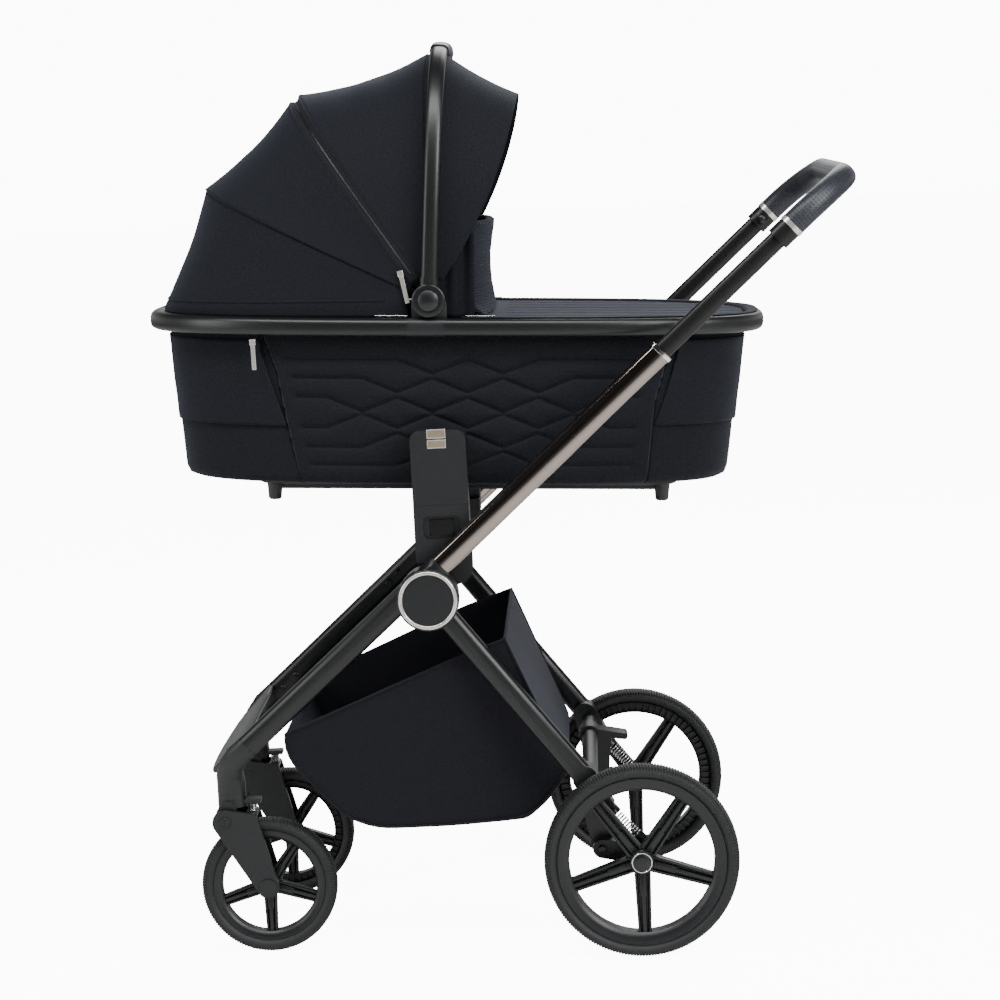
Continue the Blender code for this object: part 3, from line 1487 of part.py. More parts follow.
def bow(name, finish, axis, angle, radius, inner_y, strip):
    """A hood bow: a flat hoop with an eye at each end."""
    thickness, width = strip
    half = inner_y + EYE_DEPTH - thickness / 2
    path = [on_bow(angle, y, reach) for y, reach in hoop(radius - thickness / 2, half, 0.008, 16)]
    plane = Vector((math.cos(angle), 0, -math.sin(angle)))
    hoop_shape = sweep(path, flat_bar(thickness, width), plane)
    eyes = []
    holes = []
    for side in (-1, 1):
        eyes.append(pin(PIVOT, EYE_RADIUS, inner_y, inner_y + EYE_DEPTH, side, 18))
        holes.append(pin(PIVOT, PIVOT_PIN_RADIUS + PIN_PLAY, inner_y - 0.01, inner_y + 0.02, side))
    return part(name, finish, axis, hoop_shape, joined=eyes, cut=holes)


def fabric_edge(angle, radius, half_width, lead=0.0, inset=0.0):
    """A hood panel's edge on one bow, as world places, its sides up to lead ahead of the bow's angle."""
    edge = []
    for y, reach in hoop(radius - inset, half_width - inset, HOOD_EYE_REACH, 16):
        ahead = lead * (1 - (reach / (radius - inset)) ** 1.2)
        edge.append(on_bow(angle + ahead, y, reach))
    return edge


def hollowed(point, share, sag):
    """A place on a panel, drawn in towards the pivot line by up to sag at the panel's middle."""
    inward = Vector((PIVOT.x, 0, PIVOT.z)) - Vector((point.x, 0, point.z))
    return point + inward.normalized() * (sag * 4 * share * (1 - share) * inward.length / HOOD_REACH)


def hood_panel(name, finish, axis, first, second, rows, sag=0.0):
    """A fabric panel stretched between two bows, each given as (angle, radius, half width, lead)."""
    trim = GAP * 0.5 / first[1]
    low = (first[0] + trim, *first[1:])
    high = (second[0] - trim, *second[1:])
    sheets = []
    for inset in (0.0, HOOD_FABRIC):
        start = fabric_edge(*low, inset=inset)
        end = fabric_edge(*high, inset=inset)
        grid = []
        for row in range(rows + 1):
            share = row / rows
            grid.append([hollowed(a.lerp(b, share), share, sag) for a, b in zip(start, end)])
        sheets.append(grid)
    return part(name, finish, axis, shell(*sheets))


def hood_rear(finish, axis, edge):
    """The hood's rear panel, from the rear bow down to its hem on the rim."""
    angle, radius, half_width = edge
    base_angle = math.radians(-90)
    trim = GAP * 0.5 / radius
    sheets = []
    for inset in (0.0, HOOD_FABRIC):
        top = fabric_edge(angle - trim, radius, half_width, inset=inset)
        low = fabric_edge(base_angle, HOOD_REACH, HOOD_HALF_WIDTH, inset=inset)
        grid = []
        for share in (0.0, 0.35, 0.7, 1.0):
            grid.append([hollowed(a.lerp(b, share), share, HOOD_SAG_REAR) for a, b in zip(top, low)])
        hem = []
        for point in low:
            height = rim_world_z(point.x) + RIM_SECTION[1] / 2 / math.cos(COT_TILT) + GAP
            hem.append(Vector((point.x, point.y, min(height, point.z - 0.002))))
        grid.append(hem)
        sheets.append(grid)
    return part("hood_rear_panel", finish, axis, shell(*sheets))


def carry_path(steps=18):
    """The carry handle's middle line."""
    angle, radius = CARRY_HANDLE
    reach = radius - SLEEVE_WALL - CARRY_SECTION[1] / 2
    return [on_bow(angle, y, r) for y, r in hoop(reach, CARRY_Y, 0.010, steps, 3.2)]


def carry_handle(finish, axis):
    """The carry handle: a hooped tube with a round eye at each side."""
    angle = CARRY_HANDLE[0]
    plane = Vector((math.cos(angle), 0, -math.sin(angle)))
    tube = sweep(carry_path(), oval(CARRY_SECTION[1], CARRY_WIDTH_AT_TOP, 2.6, 12), plane)
    eyes = []
    holes = []
    for side in (-1, 1):
        profile = [
            (0, HANDLE_EYE_INNER),
            (HANDLE_EYE_RADIUS, HANDLE_EYE_INNER),
            (HANDLE_EYE_RADIUS, HANDLE_EYE_OUTER - 0.002),
            (HANDLE_EYE_RADIUS - 0.002, HANDLE_EYE_OUTER),
            (0, HANDLE_EYE_OUTER),
        ]
        eyes.append(turned(profile, PIVOT, side, 24))
        holes.append(
            pin(PIVOT, PIVOT_PIN_RADIUS + PIN_PLAY, HANDLE_EYE_INNER - 0.01, HANDLE_EYE_INNER + 0.0095, side)
        )
        holes.append(
            pin(
                PIVOT,
                PIVOT_BUTTON_RADIUS + PIN_PLAY,
                HANDLE_EYE_OUTER - PIVOT_BUTTON_TRAVEL - 0.002,
                HANDLE_EYE_OUTER + 0.01,
                side,
                24,
            )
        )
    return part("carry_handle", finish, axis, tube, joined=eyes, cut=holes)


def cropped(path, half):
    """The middle of a path, between y values of -half and half."""
    kept = []
    for before, after in zip(path, path[1:]):
        for limit in (-half, half):
            if (before.y - limit) * (after.y - limit) < 0:
                kept.append(before.lerp(after, (limit - before.y) / (after.y - before.y)))
        if abs(after.y) < half:
            kept.append(after)
    return kept


def carry_sleeve(finish, axis):
    """The leather sleeve round the top of the carry handle."""
    angle = CARRY_HANDLE[0]
    plane = Vector((math.cos(angle), 0, -math.sin(angle)))
    path = cropped(carry_path(), SLEEVE_HALF_LENGTH)
    section = oval(CARRY_SECTION[1] + 2 * SLEEVE_WALL, CARRY_WIDTH_AT_TOP + 2 * SLEEVE_WALL, 2.6, 12)
    bore = oval(CARRY_SECTION[1] + 2 * SLEEVE_PLAY, CARRY_WIDTH_AT_TOP + 2 * SLEEVE_PLAY, 2.6, 12)
    return part("carry_sleeve", finish, axis, sweep(path, section, plane, bore=bore))


def pivot_button(side, word, finish, axis):
    """The round button in the carry handle's eye, which frees the hood."""
    back = HANDLE_EYE_OUTER - 0.002 + GAP
    face = HANDLE_EYE_OUTER + PIVOT_BUTTON_RISE
    profile = [
        (0, back),
        (PIVOT_BUTTON_RADIUS, back),
        (PIVOT_BUTTON_RADIUS, face - 0.0015),
        (PIVOT_BUTTON_RADIUS - 0.0015, face),
        (0, face),
    ]
    return part(f"pivot_button_{word}", finish, axis, turned(profile, PIVOT, side, 24))


# Basket


def basket(finish, axis):
    """The fabric basket between the legs, open at the top."""
    low_z = min(z for x, z in BASKET_OUTLINE)
    half_width = LEG_Y - LEG_SECTION[0] / 2 - GAP

    def prism(outline, half):
        shape = plate(outline, -half, half)
        for vert in shape.verts:
            share = min(1.0, (vert.co.z - low_z) / (BASKET_FULL_Z - low_z))
            vert.co.y *= BASKET_FOOT_SHARE + (1 - BASKET_FOOT_SHARE) * share
        return shape

    room = inset_outline(BASKET_OUTLINE, BASKET_WALL)
    mouth = list(room)
    lift = 0.08
    mouth[0] = (mouth[0][0] - 0.02, mouth[0][1] + lift)
    mouth[8] = (mouth[8][0] - 0.03, mouth[8][1] + lift)
    mouth[9] = (mouth[9][0] - 0.03, mouth[9][1] + lift)
    return part(
        "basket",
        finish,
        axis,
        prism(BASKET_OUTLINE, half_width),
        cut=[prism(mouth, half_width - BASKET_WALL)],
    )


def inset_outline(outline, depth):
    """An outline drawn in by depth all round."""
    result = []
    count = len(outline)
    area = sum(
        outline[k][0] * outline[(k + 1) % count][1] - outline[(k + 1) % count][0] * outline[k][1]
        for k in range(count)
    )
    sign = 1 if area > 0 else -1
    for number, (x, z) in enumerate(outline):
        before = Vector((x - outline[number - 1][0], z - outline[number - 1][1])).normalized()
        after_point = outline[(number + 1) % count]
        after = Vector((after_point[0] - x, after_point[1] - z)).normalized()
        normals = [Vector((-d.y, d.x)) * sign for d in (before, after)]
        middle = (normals[0] + normals[1]).normalized()
        reach = depth / max(0.3, middle.dot(normals[0]))
        result.append((x + middle.x * reach, z + middle.y * reach))
    return result


# The whole pram


def build():
    """Make every piece and hang it on its joint."""
    clear_scene()
    looks = {
        "frame": material("black_anodised_aluminium", (0.020, 0.020, 0.022), 0.45, 0.6),
        "plastic": material("black_moulded_plastic", (0.018, 0.018, 0.019), 0.55),
        "chrome": material("silver_chrome", (0.75, 0.74, 0.73), 0.12, 1.0),
        "dark_chrome": material("dark_chrome", (0.20, 0.18, 0.17), 0.14, 1.0),
        "leather": material("grey_blue_leather", (0.045, 0.050, 0.060), 0.6),
        "fabric": material("black_fabric", (0.014, 0.016, 0.022), 0.9),
        "lining": material("grey_lining", (0.10, 0.10, 0.11), 0.9),
        "wheel": material("black_wheel_plastic", (0.020, 0.021, 0.022), 0.5),
        "tyre": material("black_tyre", (0.022, 0.022, 0.023), 0.8),
        "steel": material("spring_steel", (0.60, 0.60, 0.60), 0.25, 1.0),
    }
    frame = empty("chassis_frame", (0, 0, 0))
    handle = empty("handle_fold_axis", HUB)
    slider = empty("handle_slide_axis", HUB + HANDLE_NORMAL * LINE_OFFSET, parent=handle)
    rear = empty("rear_fold_axis", HUB)
    cot = empty("carrycot_axis", (COT_X, 0, COT_Z), COT_TILT)
    lift = empty("carrycot_lift_axis", ((POST_X[0] + POST_X[1]) / 2, 0, SOCKET_TOP_Z))
    hood = empty("hood_axis", PIVOT)

    front_crosspiece(looks["frame"], frame)
    basket(looks["fabric"], frame)
    handle_bar(looks["frame"], slider)
    grip(looks["leather"], slider)
    rear_crossbar(looks["frame"], rear)
    pedal_axis = empty("brake_pedal_axis", (CROSSBAR_X, 0, CROSSBAR_Z), parent=rear)
    brake_pedal(looks["plastic"], pedal_axis)

    for side, word in ((-1, "left"), (1, "right")):
        front_arm(side, word, looks["frame"], frame)
        adapter_socket(side, word, looks["plastic"], frame)
        release_axis = empty(f"release_button_axis_{word}", (sum(POST_X) / 2, side * POST_OUTER_Y, RELEASE_Z))
        release_button(side, word, looks["plastic"], release_axis)
        castor_axis = empty(f"castor_axis_{word}", (CASTOR_X, side * FRONT_TRACK / 2, HOUSING_BOTTOM))
        castor_block(side, word, looks["plastic"], castor_axis)
        fork_place = (FORK_PIVOT[0], side * FRONT_TRACK / 2, FORK_PIVOT[1])
        fork_axis = empty(f"fork_axis_{word}", fork_place, parent=castor_axis)
        front_fork(side, word, looks["plastic"], fork_axis)
        coil(
            f"front_spring_{word}",
            looks["steel"],
            castor_axis,
            Vector((FORK_LUG_X, side * FRONT_TRACK / 2, FORK_LUG_TOP)),
            Vector((FORK_LUG_X, side * FRONT_TRACK / 2, HOUSING_BOTTOM - GAP - SHELF_DEPTH)),
            FRONT_COIL_RADIUS,
            FRONT_WIRE_RADIUS,
            FRONT_CURLS,
        )
        wheel_axis = empty(
            f"front_wheel_axis_{word}", FRONT_AXLE + Vector((0, side * FRONT_TRACK / 2, 0)), parent=fork_axis
        )
        front_wheel_unit(side, word, looks, wheel_axis)

        hub_cover(side, word, looks["plastic"], handle)
        hub_ring(side, word, looks["chrome"], handle)
        grip_ring(side, word, looks["chrome"], slider)
        outer_tube(side, word, looks["dark_chrome"], handle)
        button_axis = empty(f"handle_button_axis_{word}", button_centre() + Vector((0, side * TUBE_Y, 0)))
        handle_button(side, word, looks["plastic"], button_axis)

        rear_leg(side, word, looks["frame"], rear)
        arm_place = (SUSPENSION_PIVOT[0], side * ARM_PLATE_INNER_Y, SUSPENSION_PIVOT[1])
        arm_axis = empty(f"rear_arm_axis_{word}", arm_place, parent=rear)
        rear_arm(side, word, looks["plastic"], arm_axis)
        spring_y = side * (ARM_PLATE_INNER_Y + ARM_PLATE_THICKNESS / 2)
        coil(
            f"rear_spring_{word}",
            looks["steel"],
            rear,
            Vector((SPRING_TOP[0], spring_y, SPRING_TOP[1])),
            Vector((SPRING_BOTTOM[0], spring_y, SPRING_BOTTOM[1])),
            REAR_COIL_RADIUS,
            REAR_WIRE_RADIUS,
            REAR_CURLS,
        )
        rear_wheel_axis = empty(
            f"rear_wheel_axis_{word}", REAR_AXLE + Vector((0, side * REAR_TRACK / 2, 0)), parent=arm_axis
        )
        rear_wheel_unit(side, word, looks, rear_wheel_axis)

        carrycot_post(side, word, looks["plastic"], lift)
        pivot_button_axis = empty(f"pivot_button_axis_{word}", PIVOT + Vector((0, side * HANDLE_EYE_OUTER, 0)))
        pivot_button(side, word, looks["plastic"], pivot_button_axis)

    carrycot_rim(looks["frame"], cot)
    carrycot_shell(looks["fabric"], cot)
    floor_board(looks["plastic"], cot)
    mattress(looks["lining"], cot)
    apron(looks["fabric"], cot)
    apron_flap(looks["fabric"], cot)

    bow("hood_bow_rear", looks["plastic"], hood, *rear_bow_size(), BOW_INNER_Y, BOW_STRIP)
    bow("hood_bow_mid", looks["plastic"], hood, *mid_bow_size(), MID_EYE_INNER, MID_BOW_STRIP)
    side_width = MID_EYE_INNER + EYE_DEPTH + GAP + HOOD_FABRIC
    rear_edge = (REAR_BOW[0], REAR_BOW[1], side_width)
    mid_edge = (MID_BOW[0], MID_BOW[1], side_width)
    handle_radius = CARRY_HANDLE[1] - 2 * SLEEVE_WALL - CARRY_SECTION[1] - GAP
    handle_edge = (CARRY_HANDLE[0], handle_radius, HOOD_HALF_WIDTH)
    visor_edge = (*VISOR_EDGE, HOOD_HALF_WIDTH - 0.004, VISOR_LEAD)
    hood_rear(looks["fabric"], hood, rear_edge)
    hood_panel("hood_mid_panel", looks["fabric"], hood, rear_edge, mid_edge, 4, HOOD_SAG_MIDDLE)
    hood_panel("hood_front_panel", looks["fabric"], hood, mid_edge, handle_edge, 4, HOOD_SAG_FRONT)
    hood_panel("hood_visor", looks["fabric"], hood, handle_edge, visor_edge, 4)
    carry_handle(looks["frame"], hood)
    carry_sleeve(looks["leather"], hood)


def rear_bow_size():
    """The rear bow's angle and radius, just inside its fabric."""
    return REAR_BOW[0], REAR_BOW[1] - HOOD_FABRIC - BOW_CLEARANCE


def mid_bow_size():
    """The middle bow's angle and radius, just inside its fabric."""
    return MID_BOW[0], MID_BOW[1] - HOOD_FABRIC - BOW_CLEARANCE


build()
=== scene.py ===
"""Looks for a pram with a lift-off carrycot. Lengths are metres, +Z up, the near side is -Y."""

import math

import bmesh
import bpy
from mathutils import Matrix, Vector, noise


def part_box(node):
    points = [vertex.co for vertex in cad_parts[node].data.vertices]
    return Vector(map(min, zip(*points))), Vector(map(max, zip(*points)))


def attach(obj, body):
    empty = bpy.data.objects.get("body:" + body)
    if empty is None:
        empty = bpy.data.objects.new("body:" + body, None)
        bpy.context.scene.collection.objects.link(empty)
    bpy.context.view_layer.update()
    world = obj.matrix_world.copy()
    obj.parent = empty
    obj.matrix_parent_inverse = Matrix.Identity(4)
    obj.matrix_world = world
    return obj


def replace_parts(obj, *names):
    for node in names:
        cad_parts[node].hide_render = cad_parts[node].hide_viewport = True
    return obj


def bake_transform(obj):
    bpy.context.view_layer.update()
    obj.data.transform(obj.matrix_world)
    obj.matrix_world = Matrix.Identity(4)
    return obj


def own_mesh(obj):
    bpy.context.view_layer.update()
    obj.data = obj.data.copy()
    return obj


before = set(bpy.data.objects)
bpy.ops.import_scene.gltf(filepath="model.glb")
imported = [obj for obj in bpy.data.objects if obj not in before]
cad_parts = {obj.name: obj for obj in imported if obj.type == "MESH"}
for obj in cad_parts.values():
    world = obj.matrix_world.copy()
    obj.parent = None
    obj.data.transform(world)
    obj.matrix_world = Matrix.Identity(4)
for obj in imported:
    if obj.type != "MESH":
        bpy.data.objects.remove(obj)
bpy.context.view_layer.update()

SIDES = ((-1, "left"), (1, "right"))

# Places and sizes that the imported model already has
HUB = Vector((-0.112, 0.0, 0.506))
REAR_AXLE = Vector((0.1623, 0.0, 0.134))
FRONT_AXLE = Vector((-0.362, 0.0, 0.0958))
REAR_TRACK = 0.555
FRONT_TRACK = 0.333
HANDLE_ANGLE = math.radians(41.5)
HANDLE_ALONG = Vector((math.cos(HANDLE_ANGLE), 0.0, math.sin(HANDLE_ANGLE)))
HANDLE_UP = Vector((-math.sin(HANDLE_ANGLE), 0.0, math.cos(HANDLE_ANGLE)))
HANDLE_FOOT = HUB + HANDLE_UP * 0.0215
TUBE_Y = 0.26255
PIVOT = Vector((-0.0923, 0.0, 0.9100))
COT_TILT = math.radians(2.88)
COT_PLACE = Vector((-0.063, 0.0, 0.8713))
RIM_HALF = (0.4356, 0.2275)
RIM_SECTION = (0.0265, 0.0255)
SHELL_HALF = (0.4088, 0.2007)
SHELL_TOP = 0.006
SHELL_DEPTH = 0.2187
SHELL_TAPER = 0.024
SHELL_ROUND = 0.012
REAR_SPRING = (Vector((0.1290, 0.0, 0.1900)), Vector((0.1565, 0.0, 0.1590)))


def frame_of(across, up, ahead, place):
    """A frame from its three axes and its place."""
    return Matrix(list(zip(across, up, ahead, place)) + [(0, 0, 0, 1)])


# Camera: 4.5 m away on the near side, a little above the rim, turned as the photograph was
YAW, PITCH, ROLL = (math.radians(a) for a in (1.745, 7.111, -2.9))
sight = Vector((-math.sin(YAW) * math.cos(PITCH), math.cos(YAW) * math.cos(PITCH), -math.sin(PITCH)))
level = Vector((math.cos(YAW), math.sin(YAW), 0.0))
above = level.cross(sight)
right = level * math.cos(ROLL) + above * math.sin(ROLL)
up = -level * math.sin(ROLL) + above * math.cos(ROLL)
lens = bpy.data.cameras.new("photo_camera")
lens.sensor_width = 36.0
lens.lens = 113.667
camera = bpy.data.objects.new("photo_camera", lens)
camera.matrix_world = frame_of(right, up, -sight, (0.12192, -4.51218, 1.16769))
bpy.context.scene.collection.objects.link(camera)
bpy.context.scene.camera = camera


# Materials

def colour_of(code):
    """A linear colour from an sRGB hex code."""
    parts = [int(code[k:k + 2], 16) / 255 for k in (1, 3, 5)]
    return tuple(c / 12.92 if c <= 0.04045 else ((c + 0.055) / 1.055) ** 2.4 for c in parts) + (1.0,)


def node_of(tree, kind):
    """The first node of a kind that is already in a tree."""
    return next(n for n in tree.nodes if n.type == kind)


def set_node(tree, node, settings):
    """Give a node its settings, by property or socket. A value that is a socket is linked."""
    for key, value in settings.items():
        if isinstance(key, str) and hasattr(node, key):
            setattr(node, key, value)
        elif isinstance(value, bpy.types.NodeSocket):
            tree.links.new(value, node.inputs[key])
        else:
            node.inputs[key].default_value = value


def add_node(tree, kind, settings=None):
    """Add a node with its settings and links."""
    made = tree.nodes.new("ShaderNode" + kind)
    set_node(tree, made, settings or {})
    return made


def maths(tree, operation, *values):
    """An operation on sockets and numbers."""
    return add_node(tree, "Math", {"operation": operation, **dict(enumerate(values))}).outputs[0]


def ranged(tree, value, low, high, start=0.0, end=1.0, kind="LINEAR"):
    """A value that runs from start to end while another runs from low to high."""
    return add_node(tree, "MapRange", {
        "interpolation_type": kind, "Value": value,
        "From Min": low, "From Max": high, "To Min": start, "To Max": end,
    }).outputs["Result"]


def mixed(tree, factor, first, second):
    """A colour between two, each a hex code or a socket."""
    first, second = (colour_of(c) if isinstance(c, str) else c for c in (first, second))
    return add_node(tree, "Mix", {"data_type": "RGBA", "Factor": factor, 6: first, 7: second}).outputs[2]


def raised_by(tree, height, strength, distance, **more):
    """A normal raised by a height of so many metres."""
    return add_node(tree, "Bump", {
        "Strength": strength, "Distance": distance, "Height": height, **more,
    }).outputs["Normal"]


def start_material(name, code, roughness, metallic=0.0):
    """A new material with its shader: (material, tree, shader)."""
    made = bpy.data.materials.new(name)
    made.use_nodes = True
    tree = made.node_tree
    shader = node_of(tree, "BSDF_PRINCIPLED")
    set_node(tree, shader, {"Base Color": colour_of(code), "Roughness": roughness, "Metallic": metallic})
    return made, tree, shader


def hard_finish(name, dark, light, roughness, spread, grain, depth, metallic=0.0):
    """A hard surface: colour that drifts between dark and light, and a grain of so many metres."""
    made, tree, shader = start_material(name, dark, roughness, metallic)
    place = add_node(tree, "TexCoord").outputs["Object"]
    drift, fine = (
        add_node(tree, "TexNoise", {"Scale": scale, "Detail": detail, "Vector": place}).outputs["Fac"]
        for scale, detail in ((9.0, 3.0), (1 / grain, 4.0))
    )
    set_node(tree, shader, {
        "Base Color": mixed(tree, drift, dark, light),
        "Roughness": ranged(tree, fine, 0.3, 0.7, roughness - spread, roughness + spread),
        "Normal": raised_by(tree, fine, 0.6, depth),
    })
    return made


# A wave texture of scale 1 repeats every 0.314
WAVE = 0.314


def cloth_finish(name, dark, light, thread, depth, sheen, stitched=False, mottle=260.0, solid="", ribs=0.0):
    """Plain-woven cloth on the UV map, in metres, or, where solid names two axes, on the object's own axes.

    thread is the drawn thread spacing. Stitched cloth reads how far each point is from its stitching and seams.
    """
    made, tree, shader = start_material(name, dark, 0.85)
    flat = add_node(tree, "TexCoord").outputs["Object" if solid else "UV"]
    warp, weft = (
        add_node(tree, "TexWave", {
            "bands_direction": way, "Scale": WAVE / thread, "Distortion": 0.6, "Detail": 1.0, "Vector": flat,
        }).outputs["Fac"]
        for way in solid or "XY"
    )
    slub = add_node(tree, "TexNoise", {"Scale": mottle, "Detail": 4.0, "Vector": flat}).outputs["Fac"]
    weave = maths(tree, "MULTIPLY_ADD", maths(tree, "MULTIPLY", warp, weft), 0.35, slub)
    colour = mixed(tree, ranged(tree, weave, 0.35, 0.95), dark, light)
    under = {}
    if stitched:
        sewn = add_node(tree, "Attribute", {"attribute_name": "sewn"}).outputs["Fac"]
        threads, grooves = [], []
        for word, thin, wide, reach in (("stitch", 0.0003, 0.0011, 0.0050), ("seam", 0.0005, 0.0014, 0.0030)):
            mark = add_node(tree, "Attribute", {"attribute_name": word}).outputs["Fac"]
            away = maths(tree, "ABSOLUTE", mark)
            threads.append(ranged(tree, away, thin, wide, 1.0, 0.0))
            grooves.append(ranged(tree, away, 0.0, reach, 1.0, 0.0, "SMOOTHSTEP"))
        line, dip = (
            maths(tree, "MAXIMUM", maths(tree, "MULTIPLY", on_stitch, sewn), on_seam)
            for on_stitch, on_seam in (threads, grooves)
        )
        colour = mixed(tree, line, colour, "#020203")
        under = {"Normal": raised_by(tree, dip, 1.0, 0.0024, invert=True)}
    if ribs:
        rib = add_node(tree, "TexWave", {
            "bands_direction": "Z", "Scale": WAVE / ribs, "Distortion": 0.0, "Vector": flat,
        })
        under = {"Normal": raised_by(tree, rib.outputs["Fac"], 1.0, 0.0007)}
    set_node(tree, shader, {
        "Base Color": colour, "Normal": raised_by(tree, weave, 0.7, depth, **under), "Specular IOR Level": 0.2,
        "Sheen Weight": sheen, "Sheen Roughness": 0.45, "Sheen Tint": colour_of("#8c94a8"),
    })
    return made


def leather_finish(name, dark, light, holes):
    """Leather with a pebbled grain, punched with rows of holes when holes is their spacing."""
    made, tree, shader = start_material(name, dark, 0.42)
    flat = add_node(tree, "TexCoord").outputs["UV"]
    height = add_node(tree, "TexVoronoi", {"Scale": 1 / 0.0022, "Vector": flat}).outputs["Distance"]
    colour = mixed(tree, height, light, dark)
    if holes:
        dots = add_node(tree, "TexVoronoi", {"Scale": 1 / holes, "Randomness": 0.0, "Vector": flat})
        hole = ranged(tree, dots.outputs["Distance"], 0.20, 0.30, 1.0, 0.0)
        colour = mixed(tree, hole, colour, "#060607")
        height = maths(tree, "MULTIPLY_ADD", hole, 4.0, height)
    set_node(tree, shader, {"Base Color": colour, "Normal": raised_by(tree, height, 0.5, 0.0002, invert=True)})
    return made


# Powder-coated aluminium: an even satin black with a fine peel. The grain is drawn at 0.8 mm.
COATED = hard_finish("powder_coated_aluminium", "#0b0c0d", "#101213", 0.36, 0.04, 0.0008, 0.00005)
# Glass-filled nylon, moulded in a spark-eroded tool: matt dark grey. The texture is drawn at 1 mm.
NYLON = hard_finish("moulded_nylon", "#0e1012", "#141618", 0.46, 0.06, 0.0010, 0.00008)
# The same nylon on the round covers and buttons, a little smoother to the touch
SMOOTH_NYLON = hard_finish("smooth_moulded_nylon", "#0d0f11", "#131517", 0.34, 0.04, 0.0012, 0.00004)
# Matt anodised aluminium on the sliding tube: the sliding has polished it slightly
ANODISED = hard_finish("black_anodised_aluminium", "#121212", "#181817", 0.36, 0.05, 0.0015, 0.00002, 0.3)
# Black chrome on the outer tubes: a dark warm mirror
BLACK_CHROME = hard_finish("black_chrome_plate", "#958a83", "#9d938c", 0.07, 0.015, 0.0300, 0.00001, 1.0)
# Bright chrome on the end rings and hub rings: a near-white mirror
CHROME = hard_finish("bright_chrome_plate", "#e4e4e2", "#eeeeec", 0.10, 0.03, 0.0200, 0.00001, 1.0)
# Satin nickel on the pullers, clips, grip rings and hub trims: bright and a little warm
NICKEL = hard_finish("satin_nickel_plate", "#d3cfc8", "#e4e0da", 0.24, 0.05, 0.0200, 0.00001, 0.72)
# The same plate on the clips' pads, tinted tan: a painted reflection in the clips' centres
NICKEL_PAINTED_REFLECTION = hard_finish("nickel_plate_painted_reflection", "#a0917c", "#b5a68f", 0.30, 0.05, 0.0200, 0.00001, 0.70)
# Zinc-plated spring wire: bright, with drawn streaks
SPRING_WIRE = hard_finish("zinc_plated_wire", "#c9cac8", "#dfdfdc", 0.22, 0.06, 0.0015, 0.00003, 1.0)
# Polypropylene wheel mouldings: matt black, a little sheen
WHEEL_PLASTIC = hard_finish("moulded_polypropylene", "#0b0d0f", "#111315", 0.40, 0.05, 0.0012, 0.00006)
# Foamed rubber tyre: dull and slightly dusty
TYRE_RUBBER = hard_finish("foamed_rubber", "#0c0e0f", "#151719", 0.60, 0.08, 0.0016, 0.00012)
# Polyester hood cloth, plain weave with 0.5 mm threads, drawn at 1.8 mm so that it shows
HOOD_CLOTH = cloth_finish("woven_hood_polyester", "#06070a", "#151821", 0.0018, 0.00035, 0.20)
# The same cloth laid on wadding and stitched through
QUILT_CLOTH = cloth_finish("quilted_woven_polyester", "#06070a", "#12151c", 0.0018, 0.00035, 0.18, stitched=True)
# The same cloth on the stuffed apron, whose weave follows the piece's own axes
APRON_CLOTH = cloth_finish("stuffed_woven_polyester", "#0a0d13", "#1b202b", 0.0018, 0.00035, 0.24, solid="XY")
# Ribbed jersey on the wind flap: its ribs are 3.6 mm apart
FLAP_CLOTH = cloth_finish("ribbed_flap_jersey", "#0a0c12", "#191d27", 0.0018, 0.0003, 0.22, solid="YZ", ribs=0.0036)
# Cotton jersey mattress cover: soft pale grey, fine knit drawn at 1.5 mm
JERSEY = cloth_finish("cotton_jersey", "#a9a9a6", "#c8c8c4", 0.0015, 0.0002, 0.2, solid="XY")
# Basket cloth: heavier 600 denier weave, drawn at 2 mm
BASKET_CLOTH = cloth_finish("heavy_basket_polyester", "#09090d", "#1b1b24", 0.0020, 0.00035, 0.20, mottle=420.0)
# Dark webbing and binding tape
TAPE = cloth_finish("woven_binding_tape", "#0d0e11", "#1a1b20", 0.0012, 0.0002, 0.15)
# Nylon zip coil and its piping
ZIP_NYLON = hard_finish("nylon_zip_coil", "#0a0a0b", "#121314", 0.35, 0.05, 0.0010, 0.00006)
# Grey-blue cowhide on the grip, punched every 4.5 mm, its colour raised above the sleeve's as a painted highlight
GRIP_LEATHER_PAINTED_HIGHLIGHT = leather_finish("punched_grip_leather_painted_highlight", "#1b1e25", "#2c313b", 0.0045)
# The same leather, plain and without the grip's painted highlight, on the carry handle
SLEEVE_LEATHER = leather_finish("plain_sleeve_leather", "#121317", "#1c1e24", 0.0)
# Polished ABS on the release buttons: glossy black
GLOSS_ABS = hard_finish("polished_abs", "#060607", "#0a0a0b", 0.14, 0.02, 0.0200, 0.00001)
# The footrest's nylon, with low studs 5 mm apart in slanting rows on its upper face; the studs' tops are painted
# lighter as a highlight
STUDDED_NYLON = hard_finish("studded_moulded_nylon", "#0e1012", "#141618", 0.44, 0.06, 0.0010, 0.00008)
tree = STUDDED_NYLON.node_tree
shader, grain = node_of(tree, "BSDF_PRINCIPLED"), node_of(tree, "BUMP")
place = add_node(tree, "TexCoord").outputs
x, y, z = add_node(tree, "SeparateXYZ", {0: place["Object"]}).outputs
slope = maths(tree, "MULTIPLY", maths(tree, "ADD", x, z), 0.7071)
slants = [maths(tree, kind, slope, y) for kind in ("ADD", "SUBTRACT")]
cells = add_node(tree, "CombineXYZ", dict(enumerate(slants))).outputs[0]
studs = add_node(tree, "TexVoronoi", {
    "Scale": 1 / 0.0071, "Randomness": 0.0, "voronoi_dimensions": "2D", "Vector": cells,
})
facing = add_node(tree, "VectorMath", {"operation": "DOT_PRODUCT", 0: place["Normal"], 1: (-0.66, 0.0, 0.75)})
proud = maths(
    tree, "MULTIPLY", ranged(tree, studs.outputs["Distance"], 0.18, 0.30, 1.0, 0.0),
    ranged(tree, facing.outputs["Value"], 0.80, 0.86),
)
